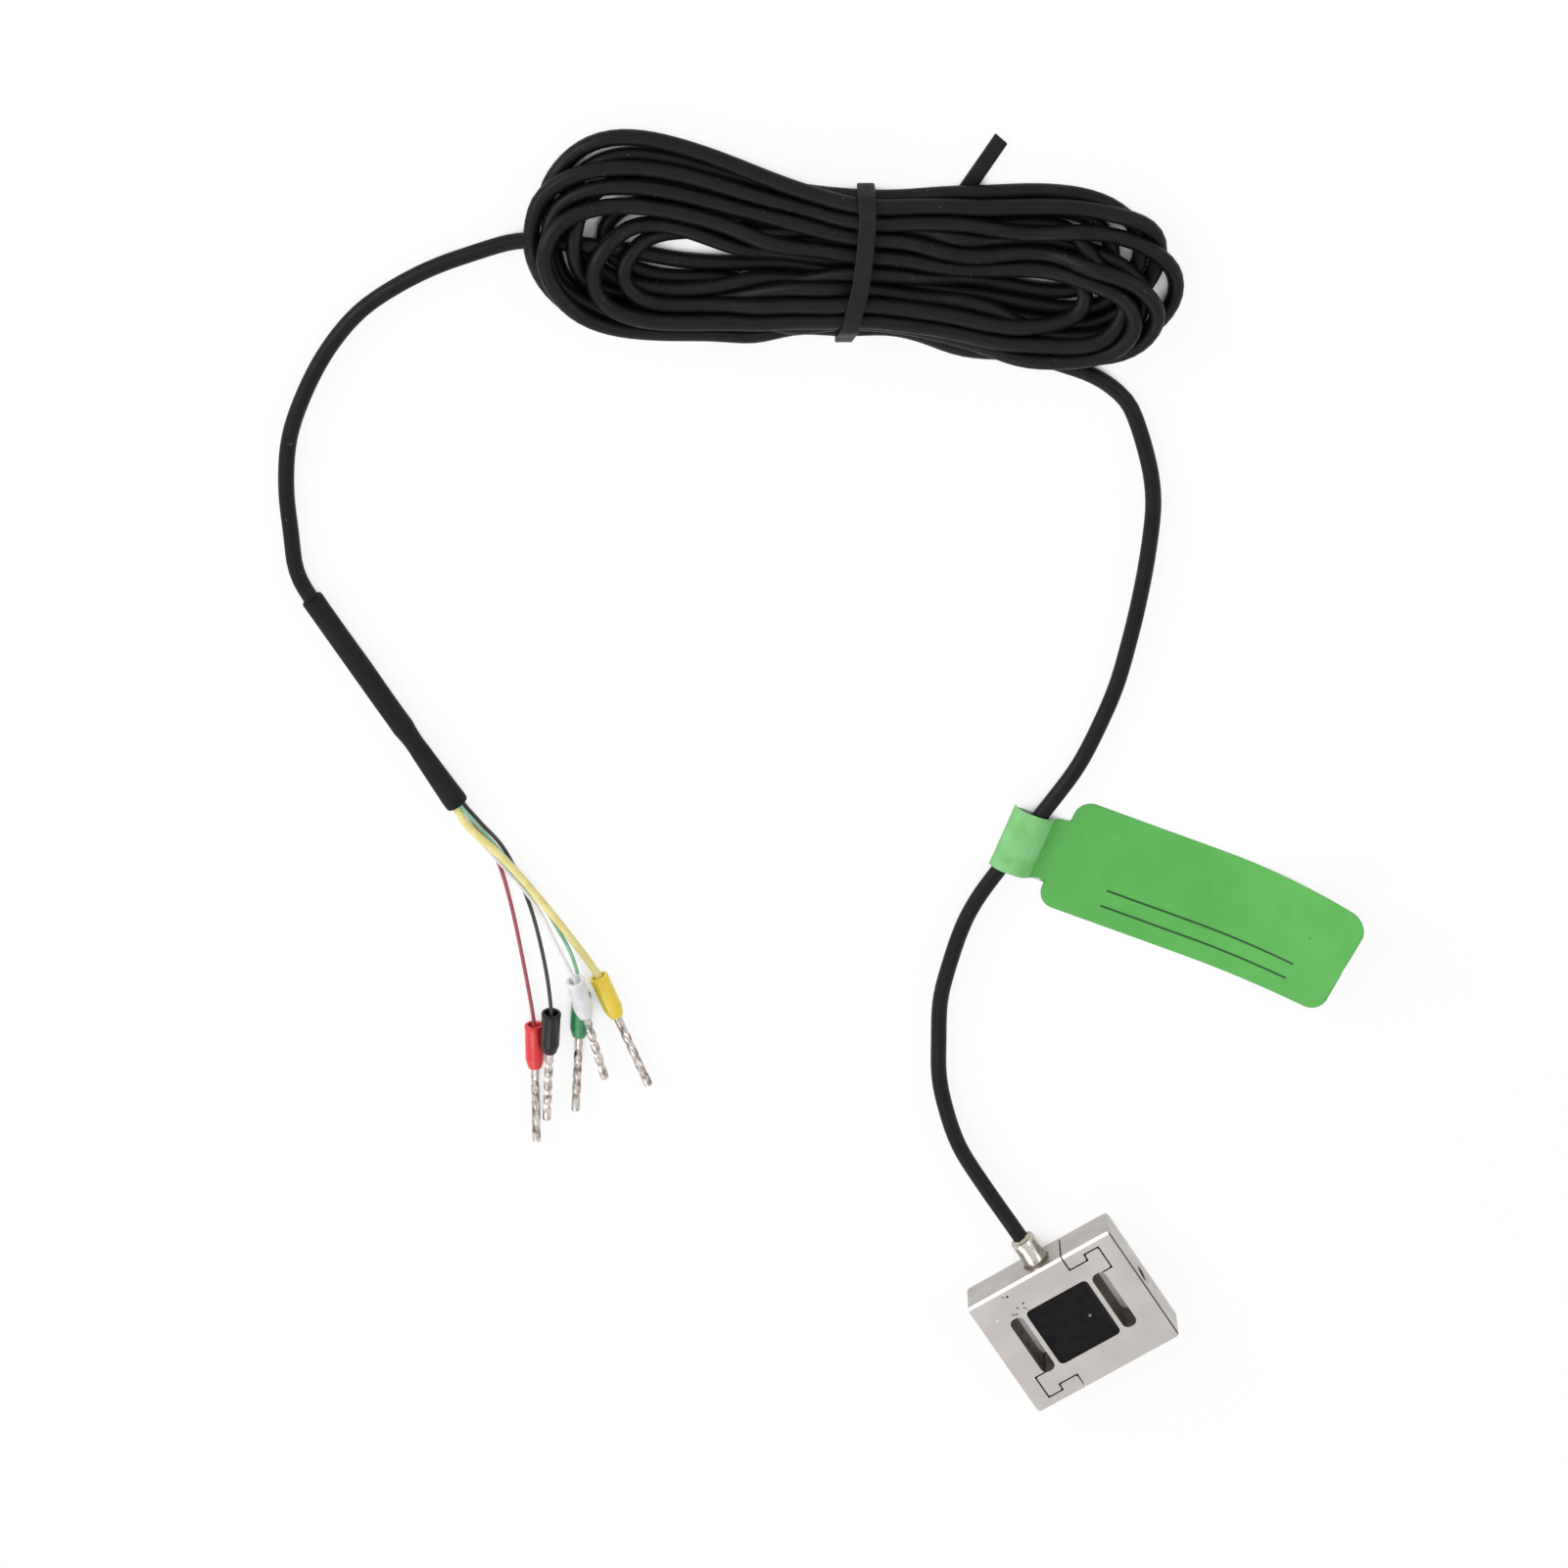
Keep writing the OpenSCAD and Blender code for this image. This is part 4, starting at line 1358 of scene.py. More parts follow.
    def to_local(self, points: np.ndarray) -> np.ndarray:
        """Turns points of the model's frame into the hank's own frame.

        Args:
            points: The points in the model's frame.

        Returns:
            The points in the hank's own frame.
        """
        along, across = self.axes()
        flat = points[:, :2] - np.array(self.place[:2])
        return np.column_stack([flat @ along, flat @ across, points[:, 2]])


@dataclass
class SignalCable:
    """The signal cable from the gland through the label and the hank to the heat-shrink."""

    diameter: float = 2.0
    least_bend: float = 3.0
    step: float = 1.25
    sides: int = 16
    lead: tuple[Point, ...] = (
        (0, 6.7, 2.7), (0, 13.6, 2.7), (-0.1, 18.5, 2.5), (-0.2, 23, 2.1), (-0.1, 27.5, 1.7),
        (0.9, 32, 1.4), (2.7, 37, 1.1), (5.6, 41.8, 1.1), (8.6, 46.3, 1.1), (12.5, 50.2, 1.1),
        (16.7, 53.8, 1.2), (20.4, 56.1, 1.4), (24.4, 57.9, 1.5), (29.9, 60.3, 1.5), (35.1, 62.4, 1.4),
        (39.8, 64.4, 1.1), (44.2, 67.2, 1.1), (49.3, 71, 1.1), (53.8, 75.3, 1.1), (58, 79.7, 1.1),
        (62.2, 84.6, 1.1), (66, 89.8, 1.1), (68.3, 95.2, 1.1),
    )
    tail: tuple[Point, ...] = (
        (12.9, 160.6, 1.1), (8.1, 161.6, 1.1), (2.7, 162, 1.1), (-2.8, 161.6, 1.1), (-8.8, 159.5, 1.1),
        (-14.4, 156.2, 1.1), (-19, 152.4, 1.1), (-22.8, 147.3, 1.1), (-25.6, 142, 1.2),
        (-27.4, 138.5, 1.4), (-28, 135.5, 1.5), (-28, 130, 1.5), (-28, 121, 1.5), (-28, 113, 1.5),
    )
    exit: Point = (0, 12.6, 2.7)
    hank: Hank = field(default_factory=Hank)
    centreline: np.ndarray = field(default_factory=lambda: np.zeros((0, 3)))
    piece: bpy.types.Object | None = None

    def build(self) -> None:
        """Lays the whole cable as one line and makes its round jacket."""
        turns = self.hank.line()
        lead = smooth_route([*self.lead, tuple(turns[0]), tuple(turns[3])], self.step)[:-3]
        tail = smooth_route([tuple(turns[-4]), tuple(turns[-1]), *self.tail], self.step)[3:]
        line = np.vstack([lead, turns, tail])
        line = opened_bends(relaxed_line(even_steps(line, self.step), 1), self.least_bend, 3)
        self.centreline = even_steps(line, self.step)
        cord = round_cord(self.centreline, self.diameter, self.sides)
        solids = ["cable_lead", "cable_hank", "cable_tail"]
        self.piece = put_in_scene(cord, "signal_cable", JACKET.material(), solids)


@dataclass
class HankTie:
    """The flat black strip that ties the hank's waist, with its twisted tail under the turns."""

    width: float = 2.1
    thickness: float = 0.7
    hank: Hank = field(default_factory=Hank)
    tail_z: float = 0.45
    tail_thickness: float = 0.6
    tail_width: float = 1.9
    steps: int = 96
    half_grip: float = 1.3
    waist_span: tuple[float, float] = (-12, 9.5)

    def strands(self, centreline: np.ndarray) -> np.ndarray:
        """Where the strands cross the waist.

        Args:
            centreline: The cable's line in the model's frame.

        Returns:
            Height across the hank and above the ground of each point near the waist.
        """
        local = self.hank.to_local(centreline)
        low, high = self.waist_span
        beside = np.abs(local[:, 0] - self.bowed(local[:, 1])) < self.half_grip
        return local[beside & (local[:, 1] > low) & (local[:, 1] < high)][:, 1:]

    def bowed(self, height: np.ndarray) -> np.ndarray:
        """Place of the strip's middle along the hank, by the height across it."""
        line = np.array(self.hank.tie_bow)
        return np.interp(height, line[:, 1], line[:, 0])

    def outline(self, centreline: np.ndarray) -> np.ndarray:
        """The strip's middle line round the bundle, as tight as its strands let it be.

        Args:
            centreline: The cable's line in the model's frame.

        Returns:
            Points of a closed loop, across the hank and above the ground.
        """
        reach = self.hank.cable / 2 + self.thickness / 2 + 0.03
        angles = np.linspace(0, math.tau, 24, endpoint=False)
        ring = np.column_stack([np.cos(angles), np.sin(angles)]) * reach
        cloud = (self.strands(centreline)[:, None, :] + ring[None]).reshape(-1, 2)
        cloud[:, 1] = np.maximum(cloud[:, 1], self.tail_z)
        centre = cloud.mean(0)
        directions = np.linspace(0, math.tau, 720, endpoint=False)
        units = np.column_stack([np.cos(directions), np.sin(directions)])
        support = (units @ (cloud - centre).T).max(1)
        ahead = np.roll(support, -1)
        step = directions[1]
        along = (ahead - support * math.cos(step)) / math.sin(step)
        sideways = np.column_stack([-units[:, 1], units[:, 0]])
        hull = centre + support[:, None] * units + along[:, None] * sideways
        closed = np.vstack([hull, hull[:1]])
        flat = even_steps(np.column_stack([closed, np.zeros(len(closed))]),
                          line_length(closed) / self.steps)
        return flat[:-1, :2]

    def build(self, centreline: np.ndarray) -> list[bpy.types.Object]:
        """Models the loop and the tail.

        Args:
            centreline: The cable's line in the model's frame.

        Returns:
            The two pieces.
        """
        plastic = TIE_PLASTIC.material()
        return [self.loop(centreline, plastic), self.stub(plastic)]

    def loop(self, centreline: np.ndarray, plastic: bpy.types.Material) -> bpy.types.Object:
        """Lays a flat strip round the bundle and gives it its thickness.

        Args:
            centreline: The cable's line in the model's frame.
            plastic: The strip's finish.

        Returns:
            The piece.
        """
        outline = self.outline(centreline)
        path = np.column_stack([self.bowed(outline[:, 0]), outline])
        for _ in range(3):
            path[:, 0] = (np.roll(path[:, 0], 1) + 2 * path[:, 0] + np.roll(path[:, 0], -1)) / 4
        ahead = np.roll(path, -1, 0) - np.roll(path, 1, 0)
        ahead /= np.linalg.norm(ahead, axis=1)[:, None]
        flat = np.roll(outline, -1, 0) - np.roll(outline, 1, 0)
        out = np.column_stack([np.zeros(len(flat)), flat[:, 1], -flat[:, 0]])
        side = np.cross(out, ahead)
        side /= np.linalg.norm(side, axis=1)[:, None]
        deselect()
        bpy.ops.mesh.primitive_grid_add(x_subdivisions=4, y_subdivisions=len(path), size=1)
        piece = bpy.context.object
        for vertex in piece.data.vertices:
            column = round((vertex.co.y + 0.5) * len(path)) % len(path)
            local = path[column] + side[column] * vertex.co.x * self.width
            vertex.co = self.hank.to_model(local[None])[0] * MM
        activate(piece)
        bpy.ops.object.mode_set(mode="EDIT")
        bpy.ops.mesh.select_all(action="SELECT")
        bpy.ops.mesh.remove_doubles(threshold=0.005 * MM)
        bpy.ops.mesh.normals_make_consistent(inside=False)
        bpy.ops.object.mode_set(mode="OBJECT")
        apply_modifier(piece, "SOLIDIFY", thickness=self.thickness * MM, offset=0)
        apply_modifier(piece, "BEVEL", width=0.16 * MM, segments=3, angle_limit=math.radians(50))
        smooth_by_angle(piece, 50)
        return put_in_scene(piece, "hank_tie_strip", plastic, ["hank_tie"])

    def stub(self, plastic: bpy.types.Material) -> bpy.types.Object:
        """The tail that runs out from under the turns to its cut end.

        Args:
            plastic: The strip's finish.

        Returns:
            The piece.
        """
        spine = np.array([(x, y, self.tail_z) for x, y in self.hank.tie_tail])
        line = relaxed_line(even_steps(spine, 0.8), 6)
        ahead = np.gradient(line, axis=0)
        ahead /= np.linalg.norm(ahead, axis=1)[:, None]
        deselect()
        bpy.ops.mesh.primitive_grid_add(x_subdivisions=len(line) - 1, y_subdivisions=4, size=1)
        piece = bpy.context.object
        for vertex in piece.data.vertices:
            k = round((vertex.co.x + 0.5) * (len(line) - 1))
            across = np.array([-ahead[k, 1], ahead[k, 0], 0])
            twist = 0.12 * math.sin(0.5 * k) * vertex.co.y
            slant = 0.3 * vertex.co.y if k == len(line) - 1 else 0.0
            local = line[k] + across * vertex.co.y * self.tail_width + ahead[k] * slant
            local = local + np.array([0, 0, twist])
            vertex.co = self.hank.to_model(local[None])[0] * MM
        apply_modifier(piece, "SOLIDIFY", thickness=self.tail_thickness * MM, offset=0)
        apply_modifier(piece, "BEVEL", width=0.12 * MM, segments=2, angle_limit=math.radians(50))
        smooth_by_angle(piece, 50)
        return put_in_scene(piece, "hank_tie_tail", plastic)


@dataclass
class HeatShrink:
    """The heat-shrink sleeve that closes the cable's end round its wires."""

    x: float = -28.0
    start_y: float = 134.0
    end_y: float = 101.4
    z: float = 1.5
    diameter: float = 2.8
    neck: float = 2.45
    wall: float = 0.32
    mouth: float = 3.0
    cable_bore: float = 1.03
    cable_end: float = 20.5
    sides: int = 32

    def rings(self) -> list[tuple[float, float]]:
        """Outer radius and distance from the sleeve's start, ring by ring.

        Returns:
            The profile of the sleeve's outside.
        """
        r, n = self.diameter / 2, self.neck / 2
        long = self.start_y - self.end_y
        return [
            (r - 0.16, 0), (r - 0.03, 0.12), (r, 0.4), (r - 0.02, 2), (r - 0.04, 6), (r - 0.02, 11),
            (r - 0.03, 16), (r - 0.02, 18.6), (r, 19.6), (r + 0.02, 20.4), (r - 0.06, 21.0),
            (n + 0.04, 21.8), (n, 22.6), (n + 0.01, 23.4), (n + 0.07, 24.6), (r - 0.06, 26.2),
            (r - 0.01, 28), (r + 0.06, 30.5), (r + 0.1, long - 1.0), (r + 0.09, long - 0.3),
            (r + 0.02, long - 0.06), (r - 0.08, long),
        ]

    def build(self) -> bpy.types.Object:
        """Models the sleeve: its outside, its rolled mouth and the wall that closes it inside.

        Returns:
            The piece.
        """
        long = self.start_y - self.end_y
        inner = self.diameter / 2 - self.wall
        closed_at = long - self.mouth
        profile = self.rings() + [(inner, long - 0.05), (inner - 0.04, long - 0.6),
                                  (inner - 0.1, closed_at), (0, closed_at)]
        bore, end = self.cable_bore, self.cable_end
        profile = [(0, end), (bore, end), (bore, 0.1), (bore + 0.05, 0.0)] + profile
        piece = turned(profile, self.sides, False)
        for vertex in piece.data.vertices:
            self.wrinkle(vertex, long)
        place_mesh(piece, Matrix.Translation(Vector((self.x, self.start_y, self.z)) * MM)
                   @ Matrix.Rotation(math.pi / 2, 4, "X"))
        smooth_by_angle(piece, 50)
        return put_in_scene(piece, "heat_shrink_sleeve", SHRINK.material(),
                            ["heat_shrink"])

    def wrinkle(self, vertex: bpy.types.MeshVertex, long: float) -> None:
        """Moves a vertex of the outside as the shrinking film pulled it.

        Args:
            vertex: A vertex of the upright sleeve.
            long: The sleeve's length in millimetres.
        """
        x, y, z = (c / MM for c in vertex.co)
        radius = math.hypot(x, y)
        if radius < 1.1 or not 0.5 < z < long - 0.2:
            return
        angle = math.atan2(y, x)
        swell = 0.02 * math.sin(2 * angle + 0.21 * z) + 0.012 * math.sin(3 * angle - 0.5 * z + 1)
        vertex.co = Vector((x * (1 + swell), y * (1 + swell), z)) * MM


@dataclass(frozen=True)
class Ferrule:
    """Place of a ferrule: its collar's open end, heading, slope and roll in degrees."""

    place: Point
    heading: float
    slope: float
    roll: float

    def matrix(self) -> Matrix:
        """Place of a piece that was turned round Z and lies along the ferrule's axis.

        Returns:
            The matrix.
        """
        turn = Matrix.Rotation(math.radians(self.heading), 4, "Z")
        tip = Matrix.Rotation(math.radians(90 + self.slope), 4, "Y")
        roll = Matrix.Rotation(math.radians(self.roll), 4, "Z")
        return Matrix.Translation(Vector(self.place) * MM) @ turn @ tip @ roll

    def at(self, along: float) -> Point:
        """Point on the axis, a distance in millimetres down from the collar's open end."""
        point = self.matrix() @ Vector((0, 0, along * MM)) / MM
        return (point.x, point.y, point.z)


FERRULES = {
    Colour.RED: Ferrule((-36.6, 70.8, 1.25), -122, 0, 45),
    Colour.BLACK: Ferrule((-33.2, 71.9, 3.6), -125.5, 9.3, 0),
    Colour.GREEN: Ferrule((-29.2, 71.3, 1.25), -125.5, 0, 45),
    Colour.WHITE: Ferrule((-27.9, 74.6, 4.9), -109.5, 14.3, 0),
    Colour.YELLOW: Ferrule((-26.1, 72.1, 1.25), -100, 0, 45),
}
MOUTH_Y = 104.34
WIRE_ROUTES = {
    Colour.RED: ((-28, MOUTH_Y, 0.9), (-27.9, 101, 0.8), (-28, 96.5, 0.4), (-28.2, 92.5, 0.35),
                 (-30, 86.5, 0.4), (-33.5, 77.8, 0.8)),
    Colour.BLACK: ((-27.2, MOUTH_Y, 1.3), (-27.4, 101, 1.2), (-27.2, 97.4, 0.6), (-26.8, 92.2, 0.3),
                   (-28.3, 84.5, 0.5), (-30.6, 77.5, 2.2)),
    Colour.GREEN: ((-27.7, MOUTH_Y, 2.1), (-27.7, 101, 1.9), (-27.4, 95.5, 1.15), (-26.9, 90.5, 1),
                   (-26.7, 85.5, 0.6), (-27.0, 80.8, 0.5), (-27.5, 76, 0.9)),
    Colour.WHITE: ((-28.5, MOUTH_Y, 1), (-28.4, 101, 0.9), (-28.8, 97, 0.6), (-27.9, 90.5, 1.1),
                   (-27.4, 84.5, 1.3), (-27.6, 79.5, 3.2)),
    Colour.YELLOW: ((-28.4, MOUTH_Y, 1.8), (-28.4, 101, 1.8), (-28.4, 98, 1.9), (-27, 92, 2.2),
                    (-26.3, 85, 2), (-26, 77, 1.5)),
}


@dataclass
class FerruleModels:
    """The one collar and the one pin that every wire's ferrule is copied from."""

    collar_width: float = 2.5
    collar_length: float = 6.0
    collar_taper: float = 1.1
    collar_tip: float = 1.7
    collar_bore: float = 1.5
    pin_width: float = 1.1
    pin_length: float = 10.4
    pin_sunk: float = 2.0
    pinches: int = 4
    pinch_depth: float = 0.19
    collar: bpy.types.Object | None = None
    pin: bpy.types.Object | None = None

    def build(self) -> None:
        """Models both, upright at the origin."""
        self.collar = self.make_collar()
        self.pin = self.make_pin()

    def clear(self) -> None:
        """Takes the models out of the scene when all copies are made."""
        for model in (self.collar, self.pin):
            bpy.data.objects.remove(model)

    def make_collar(self) -> bpy.types.Object:
        """The moulded collar, open at the wire's end, with its rim and its tapered nose.

        Returns:
            The model.
        """
        r, b = self.collar_width / 2, self.collar_bore / 2
        long, nose = self.collar_length, self.collar_length - self.collar_taper
        hole = self.pin_width / 2 + 0.03
        seat = long - self.pin_sunk - 0.2
        profile = [
            (b + 0.12, 0), (r - 0.18, 0), (r - 0.05, 0.04), (r, 0.14), (r, 0.5), (r - 0.04, 0.62),
            (r - 0.04, nose - 0.35), (r - 0.07, nose), (r - 0.2, nose + 0.45),
            (self.collar_tip / 2 + 0.08, long - 0.15), (self.collar_tip / 2, long),
            (hole, long), (hole, seat), (b, seat - 0.3), (b, 0.25),
        ]
        piece = turned(profile, 40, True)
        smooth_by_angle(piece, 50)
        return piece

    def make_pin(self) -> bpy.types.Object:
        """The tinned pin with the pinches that the crimping tool left on four sides.

        Returns:
            The model.
        """
        r = self.pin_width / 2
        top = self.collar_length - self.pin_sunk
        long = self.pin_sunk + self.pin_length
        pitch = self.pin_length / (self.pinches + 1)
        stops = [self.pin_sunk + (i + 1) * pitch for i in range(self.pinches)]
        rings = [(r, 0)]
        for stop in stops:
            rings += [(r, stop - 0.62), (r, stop - 0.3), (r, stop + 0.3), (r, stop + 0.62)]
        rings += [(r, long - 0.25), (r - 0.05, long), (r - 0.16, long), (r - 0.2, long - 0.35),
                  (0, long - 0.4)]
        piece = turned([(0, 0), *rings], 24, False)
        activate(piece)
        flat = r - self.pinch_depth
        for stop in stops:
            for axis in (0, 1):
                for side in (-1, 1):
                    select_where(piece, lambda co: abs(co.z / MM - stop) < 0.4
                                 and side * co[axis] / MM > flat)
                    scale = [1.0, 1.0, 1.0]
                    scale[axis] = 0.0
                    centre = [0.0, 0.0, stop * MM]
                    centre[axis] = side * flat * MM
                    bpy.ops.transform.resize(value=scale, center_override=centre)
                    bpy.ops.object.mode_set(mode="OBJECT")
        place_mesh(piece, Matrix.Translation((0, 0, top * MM)))
        smooth_by_angle(piece, 30)
        return piece


@dataclass
class Pigtail:
    """One of the five wires, from the sleeve's mouth to its crimped ferrule."""

    colour: Colour
    models: FerruleModels
    wire: float = 0.5

    def build(self) -> None:
        word = self.colour.value
        ferrule = FERRULES[self.colour]
        skin = COLLAR_SKINS[self.colour].material()
        collar = self.copied(self.models.collar, f"ferrule_collar_{word}", skin,
                             f"collar_{word}")
        pin = self.copied(self.models.pin, f"ferrule_pin_{word}", TIN.material(),
                          f"pin_{word}")
        end = self.models.collar_length - self.models.pin_sunk - 0.03
        route = [*WIRE_ROUTES[self.colour], ferrule.at(0), ferrule.at(end)]
        line = smooth_route(route, 0.8)
        cord = round_cord(line, self.wire, 12)
        put_in_scene(cord, f"lead_wire_{word}", WIRE_SKINS[self.colour].material(),
                     [f"wire_{word}"])

    def copied(self, model: bpy.types.Object, name: str, material: bpy.types.Material,
               node: str) -> bpy.types.Object:
        """Copies a model to this wire's ferrule.

        Args:
            model: The upright model.
            name: The piece's name.
            material: Its finish.
            node: The plain solid that it stands for.

        Returns:
            The piece.
        """
        piece = own_copy(model)
        place_mesh(piece, FERRULES[self.colour].matrix())
        return put_in_scene(piece, name, material, [node])


@dataclass
class FlagLabel:
    """The flag label: one film folded round the cable and stuck to itself.

    The unfolded film is followed from the tip of the lower layer, round the cable, to the tip of
    the upper one. Its own frame has X along the flag and Y across it.
    """

    place: Point = (27.2, 61.8, 0)
    heading: float = -53.7
    neck_length: float = 7.6
    neck_width: float = 8.5
    flag_length: float = 38.6
    flag_width: float = 15.0
    corner: float = 2.2
    film: float = 0.13
    lower_z: float = 0.225
    upper_z: float = 0.375
    curl_start: float = 27.0
    curl_radius: float = 42.0
    map_name: str = "film"
    rule_width: float = 0.3
    speck_along: float = 0.0
    speck_across: float = 1.5
    lower_flag: float = 0.0
    fold_at: float = 0.0
    crease_at: float = 0.0
    total: float = 0.0

    def section(self) -> np.ndarray:
        """Middle line of the film, along the flag and above the ground.

        Returns:
            Points of X and Z in millimetres.
        """
        end = self.neck_length + self.flag_length
        reach = [self.curl_start + (end - self.curl_start) * k / 16 for k in range(17)]

        def curl(x: float, z: float) -> tuple[float, float]:
            """Point of the far end, which curls up off the ground."""
            angle = math.asin((x - self.curl_start) / self.curl_radius)
            return (x, z + self.curl_radius * (1 - math.cos(angle)))

        lower = [curl(x, self.lower_z) for x in reversed(reach)]
        lower += [(16, self.lower_z), (8.2, self.lower_z)]
        neck = [(6.8, 0.2), (5.6, 0.11), (4, 0.085), (2, 0.085), (1.0, 0.1), (0.5, 0.25), (0.2, 0.6),
                (0.1, 1.1), (0.14, 1.6), (0.35, 2.1), (0.75, 2.5), (1.3, 2.7), (2.0, 2.76),
                (2.9, 2.76), (3.7, 2.7), (4.4, 2.45), (5.1, 1.85), (5.8, 1.1), (6.4, 0.66),
                (7.0, 0.46)]
        upper = [(8.2, self.upper_z), (16, self.upper_z)] + [curl(x, self.upper_z) for x in reach]
        return np.array(lower + neck + upper)

    def rules(self) -> list[tuple[float, float, float]]:
        """Plain rules to write on: start and end along the film, and place across it.

        Returns:
            One row for each rule, in millimetres.
        """
        start = self.total - self.flag_length + 7
        return [(start, self.total - 6, -5.0), (start, self.total - 6, -2.8)]

    def half_width(self, x: float) -> float:
        """Half the film's width at a distance along the flag, with its round corners.

        Args:
            x: The distance in millimetres.

        Returns:
            The half width in millimetres.
        """
        start, end = self.neck_length, self.neck_length + self.flag_length
        half, neck = self.flag_width / 2, self.neck_width / 2
        if x < start:
            return neck
        near = min(x - start, end - x)
        if near >= self.corner:
            return half
        off = self.corner - max(0.0, near)
        return half - self.corner + math.sqrt(max(0.0, self.corner**2 - off**2))

    def build(self) -> bpy.types.Object:
        """Returns:
            The piece.
        """
        section = self.section()
        fine = even_steps(np.column_stack([section[:, 0], section[:, 1], np.zeros(len(section))]),
                          0.05)[:, :2]
        far = np.r_[0, np.cumsum(np.linalg.norm(np.diff(fine, axis=0), axis=1))]
        self.total = float(far[-1])
        fold = int(np.argmin(fine[:, 0]))
        self.fold_at = float(far[fold])
        lower = fine[:fold]
        self.lower_flag = float(far[int(np.argmin(np.abs(lower[:, 0] - self.neck_length)))])
        self.crease_at = float(far[fold + int(np.argmin(np.abs(fine[fold:, 0] - 5.4)))])
        self.speck_along = self.total - 5.6
        stations = self.stations(far, fine)
        rows = 16
        deselect()
        bpy.ops.mesh.primitive_grid_add(x_subdivisions=len(stations) - 1, y_subdivisions=rows, size=1)
        piece = bpy.context.object
        layer = piece.data.uv_layers.new(name=self.map_name)
        spots = {}
        heading = Matrix.Rotation(math.radians(self.heading), 4, "Z")
        for vertex in piece.data.vertices:
            column = round((vertex.co.x + 0.5) * (len(stations) - 1))
            share = vertex.co.y * 2
            s = stations[column]
            x = float(np.interp(s, far, fine[:, 0]))
            z = float(np.interp(s, far, fine[:, 1]))
            across = share * self.half_width(x)
            if s < self.fold_at and x < self.neck_length:
                across *= 0.85 if share > 0 else 1.1
            lift = 1 + 0.35 * share if x > self.curl_start else 1
            base = self.lower_z if s < self.fold_at else self.upper_z
            if x > self.curl_start:
                z = base + (z - base) * lift
            spots[vertex.index] = (s * MM, across * MM)
            vertex.co = Vector(self.place) * MM + heading @ (Vector((x, across, z)) * MM)
        for loop in piece.data.loops:
            layer.data[loop.index].uv = spots[loop.vertex_index]
        activate(piece)
        apply_modifier(piece, "SOLIDIFY", thickness=self.film * MM, offset=0)
        smooth_by_angle(piece, 40)
        put_in_scene(piece, "flag_label", LABEL_FILM.material(self), ["cable_label"])
        return piece

    def stations(self, far: np.ndarray, fine: np.ndarray) -> list[float]:
        """Places along the film where its grid has a row, close where it bends or narrows.

        Args:
            far: Distance along the film of each point.
            fine: The film's middle line.

        Returns:
            The distances, in order.
        """
        ends = (0.0, self.total)
        wanted = set(np.linspace(0, self.total, 90))
        wanted |= {float(s) for s, x in zip(far[::4], fine[::4, 0]) if x < 7.6}
        edges = [self.lower_flag, self.total - self.lower_flag]
        for edge in (*edges, *ends):
            for k in range(9):
                off = self.corner * (1 - math.cos(math.pi / 2 * k / 8))
                wanted |= {edge - off, edge + off}
            wanted |= {edge - 0.01, edge + 0.01}
        kept = sorted(s for s in wanted if 0 <= s <= self.total)
        return [s for k, s in enumerate(kept) if k == 0 or s - kept[k - 1] > 0.004]


